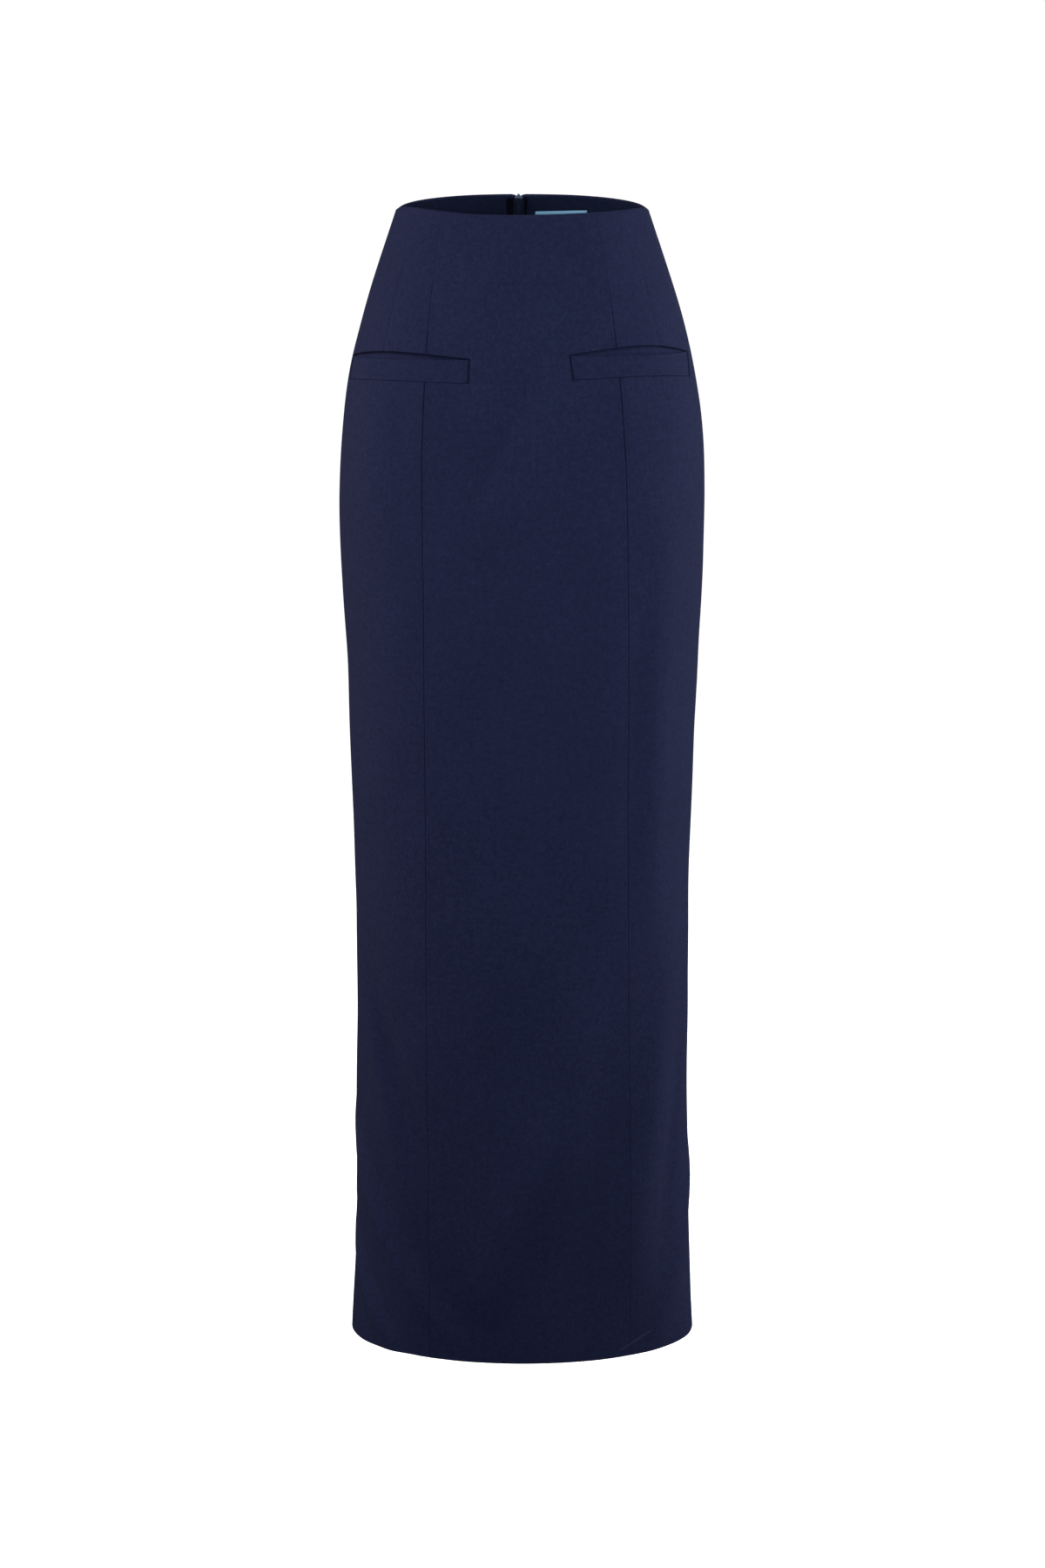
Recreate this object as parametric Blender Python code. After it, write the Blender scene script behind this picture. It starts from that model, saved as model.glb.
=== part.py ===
"""Long high-waisted pencil skirt, filled out as if worn, with welt pockets and a centre-back zip.

Metres, +Z up. The origin is the middle of the waist opening, level with the waist edge at the side
seams. The front faces -Y, and the wearer's left side is at +X. A place on the cloth is an angle from
the centre front (positive towards the wearer's left) and a level below the origin.
"""

import math
from collections import namedtuple

import bpy
from mathutils import Vector

# ---------------------------------------------------------------------------------- driving sizes

LENGTH = 1.020  # waist edge to hem at the side seams
WALL = 0.0015  # outer cloth with its fusing
SEAM_GAP = 0.0003  # between two pieces sewn to each other
HEM_DEPTH = 0.030  # turned-up hem, where the wall is thicker inside
HEM_EXTRA = 0.0009

FACING_DEPTH = 0.055
FACING_WALL = 0.0010
FACING_TO_ZIP_RIGHT = 0.0109  # from the centre back to the facing's edge
FACING_TO_ZIP_LEFT = 0.0078

CENTRE_BACK = math.radians(181.7)
ZIP_LENGTH = 0.240
ZIP_TAPE_TOP = 0.0035
ZIP_TAPE_WIDTH = 0.0120
ZIP_TAPE_WALL = 0.0008
ZIP_COLUMNS = (0.0025, 0.0050, 0.0120)  # lengthwise lines of the back panels beside the zip
ZIP_NOTCH_DEPTH = 0.0024  # dip of the waist edge where the slider stands
ZIP_NOTCH_REACH = 0.0050

LABEL_TO_ZIP = 0.0153
LABEL_WIDTH = 0.0500
LABEL_HEIGHT = 0.0200
LABEL_DROP = 0.0139
LABEL_TILT = 0.0024  # how far it climbs towards its end away from the zip
LABEL_WALL = 0.0008

WELT_PROUD = 0.0002
WELT_WALL = 0.0016
BAG_ABOVE_MOUTH = 0.0150
BAG_DEPTH = 0.1150  # below the welt
BAG_ROWS = 7
BAG_BEHIND_WELT = 0.0040  # the front layer's top edge, below the welt's top edge
BAG_OUT = -0.0021
BAG_LAYER = 0.0008
BAG_SPACE = 0.0005
BAG_SEWN_EDGE = 0.0040
BAG_OVERLAP = 0.0080  # how far the bag runs past each end of the mouth

# Half width, and depth before and behind the side seams, at levels below the waist edge.
Section = namedtuple("Section", "level half_width front back")
SECTIONS = (
    Section(0.000, 0.1095, 0.0860, 0.0900),
    Section(0.015, 0.1145, 0.0880, 0.0930),
    Section(0.045, 0.1246, 0.0920, 0.0990),
    Section(0.075, 0.1342, 0.0960, 0.1070),
    Section(0.105, 0.1427, 0.1000, 0.1160),
    Section(0.135, 0.1498, 0.1030, 0.1250),
    Section(0.165, 0.1550, 0.1060, 0.1320),
    Section(0.200, 0.1587, 0.1080, 0.1370),
    Section(0.250, 0.1609, 0.1100, 0.1380),
    Section(0.300, 0.1603, 0.1105, 0.1340),
    Section(0.400, 0.1554, 0.1105, 0.1220),
    Section(0.500, 0.1522, 0.1100, 0.1150),
    Section(0.600, 0.1492, 0.1100, 0.1110),
    Section(0.720, 0.1488, 0.1095, 0.1100),
    Section(0.850, 0.1500, 0.1095, 0.1100),
    Section(0.960, 0.1524, 0.1100, 0.1110),
    Section(1.020, 0.1555, 0.1105, 0.1120),
)

# Height of the waist edge above the origin on the wearer's right and left, by degrees from the
# centre front to the centre back.
WaistEdge = namedtuple("WaistEdge", "degrees right left")
WAIST_EDGE = (
    WaistEdge(0.0, 0.0032, 0.0032),
    WaistEdge(22.0, 0.0032, 0.0036),
    WaistEdge(50.0, 0.0049, 0.0038),
    WaistEdge(70.0, 0.0046, 0.0033),
    WaistEdge(80.0, 0.0023, 0.0013),
    WaistEdge(92.0, -0.0012, -0.0012),
    WaistEdge(110.0, 0.0009, 0.0009),
    WaistEdge(150.0, 0.0031, 0.0031),
    WaistEdge(185.0, 0.0031, 0.0031),
)
WAIST_EDGE_FADE = 0.030  # level below which the rows run level

# Distance of the two front seams from the middle plane, on the wearer's right and left.
PrincessSeam = namedtuple("PrincessSeam", "level right left")
PRINCESS_SEAMS = (
    PrincessSeam(0.000, 0.0686, 0.0633),
    PrincessSeam(0.031, 0.0738, 0.0698),
    PrincessSeam(0.068, 0.0784, 0.0756),
    PrincessSeam(0.115, 0.0823, 0.0814),
    PrincessSeam(0.200, 0.0864, 0.0887),
    PrincessSeam(0.262, 0.0865, 0.0908),
    PrincessSeam(0.338, 0.0858, 0.0923),
    PrincessSeam(0.570, 0.0849, 0.0932),
    PrincessSeam(0.890, 0.0840, 0.0957),
    PrincessSeam(1.020, 0.0824, 0.0965),
)

# Half the gap between the back panels: round the slider's neck, along the seam, down the slit.
BackGap = namedtuple("BackGap", "level half_gap")
BACK_GAPS = (
    BackGap(0.0000, 0.00080),
    BackGap(0.0075, 0.00080),
    BackGap(0.0150, 0.00015),
    BackGap(0.7200, 0.00015),
    BackGap(1.0200, 0.00120),
)

# Pocket mouths: two ends in degrees halfway down the window, how far each end leans from the
# window's top to its bottom, the level of the window's top and bottom at each end, and how far the
# upper lip and the bottom seam arch above the straight lines between their ends.
Pocket = namedtuple(
    "Pocket",
    "side low_end high_end low_lean high_lean low_top high_top low_bottom high_bottom"
    " top_rise bottom_rise",
)
POCKETS = (
    Pocket("right", -84.0, -18.0, 4.0, 0.0, 0.1271, 0.1196, 0.1482, 0.1402, 0.0060, 0.0023),
    Pocket("left", 16.6, 76.0, 0.6, -4.0, 0.1160, 0.1219, 0.1372, 0.1442, 0.0074, 0.0032),
)

# Soft ridges (positive) and troughs (negative) in the hanging cloth, from an upper to a lower end.
Fold = namedtuple("Fold", "top_degrees top_level low_degrees low_level reach height")
FOLDS = (
    Fold(-81.0, 0.620, -38.0, 0.900, 0.014, 0.0040),
    Fold(-72.0, 0.620, -29.0, 0.900, 0.013, -0.0042),
    Fold(-93.0, 0.800, -25.0, 1.010, 0.014, 0.0042),
    Fold(-81.0, 0.800, -13.0, 1.010, 0.018, -0.0032),
    Fold(-88.0, 0.912, -45.0, 1.030, 0.012, 0.0042),
    Fold(-90.0, 0.890, -38.0, 1.030, 0.012, -0.0036),
    Fold(-42.0, 0.130, -41.0, 0.220, 0.011, -0.0010),
    Fold(8.0, 0.100, -18.0, 0.270, 0.009, -0.0034),
    Fold(50.0, 0.230, 51.0, 0.700, 0.019, 0.0030),
    Fold(40.5, 0.280, 39.0, 0.660, 0.011, -0.0014),
    Fold(63.0, 0.620, 39.0, 0.960, 0.020, 0.0048),
    Fold(78.0, 0.660, 53.0, 0.960, 0.012, -0.0036),
    Fold(91.0, 0.840, 46.0, 1.030, 0.012, 0.0042),
    Fold(24.5, 0.620, 8.0, 0.880, 0.022, 0.0030),
    Fold(19.0, 0.760, -13.0, 0.990, 0.024, 0.0050),
    Fold(36.0, 0.640, 16.0, 0.990, 0.016, -0.0018),
    Fold(100.0, 0.760, 138.0, 1.090, 0.020, 0.0034),
    Fold(-98.0, 0.800, -130.0, 1.070, 0.019, 0.0032),
    Fold(-112.0, 0.860, -140.0, 1.090, 0.013, -0.0018),
    Fold(-150.0, 0.360, -118.0, 0.560, 0.020, -0.0018),
    Fold(152.0, 0.380, 122.0, 0.600, 0.018, -0.0018),
    Fold(160.0, 0.860, 150.0, 1.100, 0.017, -0.0022),
    Fold(178.0, 0.640, 196.0, 0.960, 0.016, 0.0022),
)
FOLD_RADIUS = 0.130
FOLD_SPREAD = 0.012  # widens and lowers the narrow folds, so that the grid can follow them

# Lengthwise rows of the grids: from each level down, one row every so often.
RowBand = namedtuple("RowBand", "start spacing")
ROW_BANDS = (
    RowBand(0.000, 0.0075),
    RowBand(0.030, 0.0215),
    RowBand(0.180, 0.0350),
    RowBand(0.420, 0.0600),
    RowBand(0.600, 0.0300),
    RowBand(LENGTH, 0.0),
)

SLIDER_LEVEL = 0.0022  # the slider's middle, below the origin
SLIDER_LENGTH = 0.0090
SLIDER_BODY_WIDTH = 0.0068
SLIDER_BODY_DEPTH = 0.0035
SLIDER_BODY_OUT = -0.0029
SLIDER_NECK_WIDTH = 0.0010
SLIDER_NECK_RISE = 0.0010
SLIDER_PLATE_WIDTH = 0.0036
SLIDER_PLATE_OUT = 0.0015
SLIDER_PLATE_DEPTH = 0.0010
BRIDGE_WIDTH = 0.0016
BRIDGE_LENGTH = 0.0068
BRIDGE_BAR = 0.0008
BRIDGE_SLOT = 0.0018
PULL_LENGTH = 0.0190
PULL_WIDTH = 0.0048
PULL_TIP_WIDTH = 0.0054
PULL_WALL = 0.0010
PULL_HOLE_WIDTH = 0.0028
PULL_HOLE_LENGTH = 0.0050
PULL_REST = math.radians(5.0)  # leans in until its tip rests on the cloth
METAL_ROUNDING = 0.0003
CUTTER_REACH = 0.0060  # how far a cutter stands out of the cloth it cuts

# Colour, roughness, metallic.
Finish = namedtuple("Finish", "red green blue roughness metallic")
FINISHES = {
    "suiting": Finish(0.017, 0.020, 0.052, 0.85, 0.0),
    "tape": Finish(0.010, 0.012, 0.030, 0.80, 0.0),
    "enamel": Finish(0.045, 0.060, 0.110, 0.35, 0.8),
    "label_cloth": Finish(0.150, 0.390, 0.580, 0.60, 0.0),
}


# ------------------------------------------------------------------------------- the cloth's form


def along(rows, level, column):
    """One column of a table at a level, on a smooth curve through the table's rows."""
    last = len(rows) - 1
    at = 0
    while at < last - 1 and rows[at + 1][0] <= level:
        at += 1

    def step(i):
        return rows[i + 1][0] - rows[i][0]

    def rise(i):
        return (rows[i + 1][column] - rows[i][column]) / step(i)

    def slope(i):
        if i == 0 or i == last:
            return rise(max(i - 1, 0))
        return (rise(i - 1) * step(i) + rise(i) * step(i - 1)) / (step(i - 1) + step(i))

    span = step(at)
    f = (level - rows[at][0]) / span
    if f < 0.0:
        return rows[0][column] + slope(0) * (level - rows[0][0])
    start, end = rows[at][column], rows[at + 1][column]
    return (
        start * (2.0 * f**3 - 3.0 * f**2 + 1.0)
        + end * (3.0 * f**2 - 2.0 * f**3)
        + slope(at) * span * (f**3 - 2.0 * f**2 + f)
        + slope(at + 1) * span * (f**3 - f**2)
    )


def straight(rows, level, column):
    """One column of a table at a level, on straight lines between its rows."""
    for low, high in zip(rows, rows[1:]):
        if level <= high[0]:
            f = max((level - low[0]) / (high[0] - low[0]), 0.0)
            return low[column] + (high[column] - low[column]) * f
    return rows[-1][column]


def smooth(f):
    """Soft step from 0 to 1."""
    f = min(max(f, 0.0), 1.0)
    return f * f * (3.0 - 2.0 * f)


def wrapped(angle):
    """The same angle from half a turn back to half a turn on."""
    return (angle + math.pi) % (2.0 * math.pi) - math.pi


def form_point(angle, level):
    """Point of the plain form: a half ellipse before the side seams and another behind them."""
    half_width = along(SECTIONS, level, 1)
    depth = along(SECTIONS, level, 2 if math.cos(angle) > 0.0 else 3)
    return Vector((half_width * math.sin(angle), -depth * math.cos(angle), -level))


def around(angle, level):
    """Movement of the form's point for each radian around it."""
    step = 0.01
    return (form_point(angle + step, level) - form_point(angle - step, level)) / (2.0 * step)


def fold_height(angle, level):
    """How far the folds lift the cloth out of its plain form."""
    height = 0.0
    for fold in FOLDS:
        f = (level - fold.top_level) / (fold.low_level - fold.top_level)
        if 0.0 < f < 1.0:
            middle = math.radians(fold.top_degrees + (fold.low_degrees - fold.top_degrees) * f)
            reach = math.hypot(fold.reach, FOLD_SPREAD)
            across = wrapped(angle - middle) * FOLD_RADIUS / reach
            crest = fold.height * fold.reach / reach * math.sin(math.pi * f)
            height += crest * math.exp(-across * across)
    return height


def cloth_point(angle, level, out):
    """Point at a distance out of the cloth's outer face."""
    step = 0.001
    down = form_point(angle, level + step) - form_point(angle, level - step)
    normal = down.cross(around(angle, level)).normalized()
    return form_point(angle, level) + normal * (out + fold_height(angle, level))


def from_centre_back(angle, level):
    """Distance around the cloth from the centre back."""
    return abs(wrapped(angle - CENTRE_BACK)) * around(CENTRE_BACK, level).length


# ------------------------------------------------------------- lines on the cloth: columns and rows


def princess(side):
    """Angle of a princess seam at a level."""
    column = PrincessSeam._fields.index(side)
    sign = 1.0 if side == "left" else -1.0

    def angle(level):
        offset = along(PRINCESS_SEAMS, level, column)
        return sign * math.asin(offset / along(SECTIONS, level, 1))

    return angle


def upright(angle):
    """Line that stays at one angle."""
    return lambda level: angle


SEAMS = {
    "centre_back_right": upright(CENTRE_BACK - 2.0 * math.pi),
    "side_right": upright(math.radians(-90.0)),
    "princess_right": princess("right"),
    "princess_left": princess("left"),
    "side_left": upright(math.radians(90.0)),
    "centre_back_left": upright(CENTRE_BACK),
}

# Outer panels in their order around the body, with the number of strips in each.
Panel = namedtuple("Panel", "name low_seam high_seam strips")
PANELS = (
    Panel("back_right", "centre_back_right", "side_right", 12),
    Panel("front_side_right", "side_right", "princess_right", 10),
    Panel("front_center", "princess_right", "princess_left", 10),
    Panel("front_side_left", "princess_left", "side_left", 10),
    Panel("back_left", "side_left", "centre_back_left", 12),
)


def moved(column, inset):
    """Line moved around the cloth by a distance, or by one that depends on the level."""

    def angle(level):
        base = column(level)
        distance = inset(level) if callable(inset) else inset
        return base + distance / around(base, level).length

    return angle


def between(low, high, share):
    """Line that keeps to a share of the way between two lines."""
    return lambda level: low(level) + (high(level) - low(level)) * share


def back_half_gap(level):
    return straight(BACK_GAPS, level, 1)


def seam_half_gap(level):
    return SEAM_GAP / 2.0


def strips(panels):
    """Lines between the strips of neighbouring panels, without the first and the last line."""
    columns = []
    for panel in panels:
        low, high = SEAMS[panel.low_seam], SEAMS[panel.high_seam]
        columns += [between(low, high, k / panel.strips) for k in range(panel.strips)]
    return columns[1:]


def panel_columns(panel):
    """All lengthwise lines of a panel, the outer two drawn in by half a seam gap."""
    low, high = SEAMS[panel.low_seam], SEAMS[panel.high_seam]
    first, last = moved(low, seam_half_gap), moved(high, lambda level: -seam_half_gap(level))
    inside = strips([panel])
    if panel.low_seam == "centre_back_right":
        first = moved(low, back_half_gap)
        inside = [moved(low, inset) for inset in ZIP_COLUMNS] + inside
    if panel.high_seam == "centre_back_left":
        last = moved(high, lambda level: -back_half_gap(level))
        inside += [moved(high, -inset) for inset in reversed(ZIP_COLUMNS)]
    return [first, *inside, last]


def notch(angle, level):
    """Dip of the waist edge beside the zip's slider."""
    distance = from_centre_back(angle, level)
    return ZIP_NOTCH_DEPTH * (1.0 - smooth(distance / ZIP_NOTCH_REACH))


def hanging(drop):
    """Row at a drop below the waist edge, which follows that edge near it."""

    def level(angle):
        degrees = math.degrees(wrapped(angle))
        column = WaistEdge._fields.index("right" if degrees < 0.0 else "left")
        rise = along(WAIST_EDGE, abs(degrees), column) - notch(angle, drop)
        return drop - rise * (1.0 - smooth(drop / WAIST_EDGE_FADE))

    return level


def sloping(low_angle, high_angle, low_level, high_level, arch=0.0):
    """Row that runs straight between two ends, or arches above that line."""

    def level(angle):
        f = (angle - low_angle) / (high_angle - low_angle)
        arched = arch * math.sin(math.pi * min(max(f, 0.0), 1.0))
        return low_level + (high_level - low_level) * f - arched

    return level


def between_rows(upper, lower, share=0.5):
    """Row that keeps to a share of the way between two rows."""
    return lambda angle: upper(angle) + (lower(angle) - upper(angle)) * share


def drops(top, bottom):
    """The grid's row levels from a top to a bottom level, both included."""
    levels = [top]
    for band, below in zip(ROW_BANDS, ROW_BANDS[1:]):
        count = round((below.start - band.start) / band.spacing)
        for k in range(count):
            level = band.start + k * (below.start - band.start) / count
            if top + 0.002 < level < bottom - 0.002:
                levels.append(level)
    return levels + [bottom]


# --------------------------------------------------------------------------------- making objects


def finish(piece, kind):
    """Give a piece a material of its own."""
    look = FINISHES[kind]
    material = bpy.data.materials.new(f"{piece.name}_{kind}")
    material.use_nodes = True
    shader = material.node_tree.nodes["Principled BSDF"]
    shader.inputs["Base Color"].default_value = (look.red, look.green, look.blue, 1.0)
    shader.inputs["Roughness"].default_value = look.roughness
    shader.inputs["Metallic"].default_value = look.metallic
    piece.data.materials.append(material)


def add_mesh(name, vertices, faces):
    mesh = bpy.data.meshes.new(name)
    mesh.from_pydata(vertices, [], faces)
    mesh.update()
    piece = bpy.data.objects.new(name, mesh)
    bpy.context.scene.collection.objects.link(piece)
    return piece


def meeting(column, row):
    """Angle and level where a lengthwise line meets a row."""
    level = row(column(0.0))
    for _ in range(3):
        angle = column(level)
        level = row(angle)
    return angle, level


def layer(name, columns, rows, outer, inner):
    """Closed layer of cloth over a grid, between two distances out of the outer face."""
    wide, high = len(columns), len(rows)
    grid = [[meeting(column, row) for row in rows] for column in columns]
    vertices = []
    for distance in (outer, inner):
        for line in grid:
            for angle, level in line:
                out = distance(level) if callable(distance) else distance
                vertices.append(cloth_point(angle, level, out))

    def outside(i, j):
        return i * high + j

    def inside(i, j):
        return wide * high + i * high + j

    faces = []
    for i in range(wide - 1):
        for j in range(high - 1):
            corners = ((i, j), (i, j + 1), (i + 1, j + 1), (i + 1, j))
            faces.append([outside(*corner) for corner in corners])
            faces.append([inside(*corner) for corner in reversed(corners)])
    rim = [(i, 0) for i in range(wide - 1)]
    rim += [(wide - 1, j) for j in range(high - 1)]
    rim += [(i, high - 1) for i in range(wide - 1, 0, -1)]
    rim += [(0, j) for j in range(high - 1, 0, -1)]
    for here, there in zip(rim, rim[1:] + rim[:1]):
        faces.append([outside(*here), outside(*there), inside(*there), inside(*here)])
    return add_mesh(name, vertices, faces)


def box(name, low, high):
    """Closed box between two corners."""
    corners = [(x, y, z) for x in (low[0], high[0]) for y in (low[1], high[1]) for z in (low[2], high[2])]
    faces = [(0, 1, 3, 2), (4, 6, 7, 5), (0, 4, 5, 1), (2, 3, 7, 6), (0, 2, 6, 4), (1, 5, 7, 3)]
    return add_mesh(name, corners, faces)


def plate(name, outline, low_y, high_y):
    """Closed flat plate with an outline of (x, z) points, anticlockwise as seen from -Y."""
    count = len(outline)
    vertices = [(x, y, z) for y in (low_y, high_y) for x, z in outline]
    faces = [list(range(count)), list(range(2 * count - 1, count - 1, -1))]
    for k in range(count):
        after = (k + 1) % count
        faces.append([after, k, count + k, count + after])
    return add_mesh(name, vertices, faces)


def combine(piece, tool, operation):
    """Join a tool to a piece, or cut it out, and hide the tool."""
    boolean = piece.modifiers.new(tool.name, "BOOLEAN")
    boolean.operation = operation
    boolean.solver = "EXACT"
    boolean.object = tool
    tool.display_type = "WIRE"
    tool.hide_render = True


def soften(piece, width):
    bevel = piece.modifiers.new("rounding", "BEVEL")
    bevel.width = width
    bevel.segments = 1
    bevel.limit_method = "ANGLE"


def shade_smooth(piece):
    piece.data.shade_smooth()
    piece.data.set_sharp_from_angle(angle=math.radians(40.0))


# ------------------------------------------------------------------------------------- the pieces


def wall_inside(level):
    """Inner face of the outer cloth, thicker where the hem is turned up."""
    turned_up = level > LENGTH - HEM_DEPTH - 0.001
    return -WALL - (HEM_EXTRA if turned_up else 0.0)


def make_panels():
    rows = [hanging(drop) for drop in drops(0.0, LENGTH)]
    made = {}
    for panel in PANELS:
        piece = layer(panel.name, panel_columns(panel), rows, 0.0, wall_inside)
        finish(piece, "suiting")
        shade_smooth(piece)
        made[panel.name] = piece
    return made


def make_facings():
    outer = -WALL - SEAM_GAP
    inner = outer - FACING_WALL
    rows = [hanging(drop) for drop in drops(SEAM_GAP, FACING_DEPTH)]
    half_gap = SEAM_GAP / 2.0
    ends = {
        "facing_back_right": (FACING_TO_ZIP_RIGHT, -half_gap, PANELS[:1]),
        "facing_front": (half_gap, -half_gap, PANELS[1:4]),
        "facing_back_left": (half_gap, -FACING_TO_ZIP_LEFT, PANELS[4:]),
    }
    for name, (low_inset, high_inset, panels) in ends.items():
        first = moved(SEAMS[panels[0].low_seam], low_inset)
        last = moved(SEAMS[panels[-1].high_seam], high_inset)
        piece = layer(name, [first, *strips(panels), last], rows, outer, inner)
        finish(piece, "suiting")
        shade_smooth(piece)


def make_zip_tapes():
    outer = -WALL - SEAM_GAP
    step_top, step_bottom = FACING_DEPTH + SEAM_GAP, FACING_DEPTH + 0.003
    levels = drops(ZIP_TAPE_TOP, step_top) + drops(step_bottom, ZIP_LENGTH)
    rows = [hanging(level) for level in levels]
    sides = (
        ("right", "centre_back_right", 1.0, FACING_TO_ZIP_RIGHT),
        ("left", "centre_back_left", -1.0, FACING_TO_ZIP_LEFT),
    )
    for side, seam, sign, facing_edge in sides:

        def far_edge(level, sign=sign, facing_edge=facing_edge):
            beside_facing = level < (step_top + step_bottom) / 2.0
            return sign * (facing_edge - SEAM_GAP if beside_facing else ZIP_TAPE_WIDTH)

        near = moved(SEAMS[seam], lambda level, sign=sign: sign * back_half_gap(level))
        middle = moved(SEAMS[seam], sign * ZIP_COLUMNS[1])
        columns = [near, middle, moved(SEAMS[seam], far_edge)]
        if sign < 0.0:
            columns.reverse()
        piece = layer(f"zip_tape_{side}", columns, rows, outer, outer - ZIP_TAPE_WALL)
        finish(piece, "tape")


def make_label():
    outer = -WALL - SEAM_GAP - FACING_WALL - 0.0004
    spread = 4
    insets = [LABEL_TO_ZIP + LABEL_WIDTH * k / spread for k in range(spread, -1, -1)]
    columns = [moved(SEAMS["centre_back_left"], -inset) for inset in insets]
    far_end, near_zip = columns[0](LABEL_DROP), columns[-1](LABEL_DROP)

    def tilted(row):
        return lambda angle: row(angle) - LABEL_TILT * (near_zip - angle) / (near_zip - far_end)

    rows = [tilted(hanging(LABEL_DROP + LABEL_HEIGHT * k / 2)) for k in range(3)]
    piece = layer("label", columns, rows, outer, outer - LABEL_WALL)
    finish(piece, "label_cloth")


def window_column(pocket, share):
    """Line down a pocket's window at a share of its width, which leans as the window's ends do."""

    def mixed(key):
        low, high = getattr(pocket, "low_" + key), getattr(pocket, "high_" + key)
        return low + (high - low) * share

    middle, lean = math.radians(mixed("end")), math.radians(mixed("lean"))
    top, bottom = mixed("top"), mixed("bottom")

    def angle(level):
        return middle + lean * (min(max((level - top) / (bottom - top), 0.0), 1.0) - 0.5)

    return angle


def make_pocket(pocket, panels):
    """Window cut through the front panels, the welt that fills its lower part, and the bag behind."""
    low, high = math.radians(pocket.low_end), math.radians(pocket.high_end)
    count = 12
    leaning = [window_column(pocket, k / count) for k in range(count + 1)]
    columns = [upright(low + (high - low) * k / count) for k in range(count + 1)]

    def spread(lines, past_ends):
        """The pocket's lines, with the first and the last moved past the mouth's ends."""
        return [moved(lines[0], -past_ends), *lines[1:-1], moved(lines[-1], past_ends)]

    def top(lowered, arch=0.0):
        return sloping(low, high, pocket.low_top + lowered, pocket.high_top + lowered, arch)

    def bottom(lowered):
        ends = pocket.low_bottom + lowered, pocket.high_bottom + lowered
        return sloping(low, high, *ends, pocket.bottom_rise)

    lip = top(0.0, pocket.top_rise)
    window = layer(f"window_{pocket.side}", leaning, [lip, bottom(0.0)], CUTTER_REACH, -CUTTER_REACH)
    for panel in ("front_center", f"front_side_{pocket.side}"):
        combine(panels[panel], window, "DIFFERENCE")

    welt_top, welt_bottom = top(SEAM_GAP), bottom(-SEAM_GAP)
    welt_rows = [welt_top, between_rows(welt_top, welt_bottom), welt_bottom]
    inner = WELT_PROUD - WELT_WALL
    welt = layer(f"pocket_welt_{pocket.side}", spread(leaning, -SEAM_GAP), welt_rows, WELT_PROUD, inner)
    finish(welt, "suiting")
    shade_smooth(welt)

    above, bag_top, bag_bottom = top(-2.0 * BAG_ABOVE_MOUTH), top(-BAG_ABOVE_MOUTH), bottom(BAG_DEPTH)
    front_face = BAG_OUT - BAG_LAYER
    back_face = front_face - BAG_SPACE

    def rows_to(lowest, first):
        return [first] + [between_rows(bag_top, lowest, k / BAG_ROWS) for k in range(1, BAG_ROWS + 1)]

    bag_rows = rows_to(bag_bottom, bag_top)
    bag_columns = spread(columns, BAG_OVERLAP)
    bag = layer(f"pocket_bag_{pocket.side}", bag_columns, bag_rows, BAG_OUT, back_face - BAG_LAYER)
    sewn_columns = spread(columns, BAG_OVERLAP - BAG_SEWN_EDGE)
    sewn_rows = rows_to(bottom(BAG_DEPTH - BAG_SEWN_EDGE), above)
    hollow = layer(f"hollow_{pocket.side}", sewn_columns, sewn_rows, front_face, back_face)
    trim_columns = spread(columns, 2.0 * BAG_OVERLAP)
    trim_rows = [above, top(BAG_BEHIND_WELT)]
    trim_inner = back_face + BAG_SPACE / 4.0
    trim = layer(f"trim_{pocket.side}", trim_columns, trim_rows, CUTTER_REACH, trim_inner)
    for cutter in (hollow, trim):
        combine(bag, cutter, "DIFFERENCE")
    finish(bag, "suiting")


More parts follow.
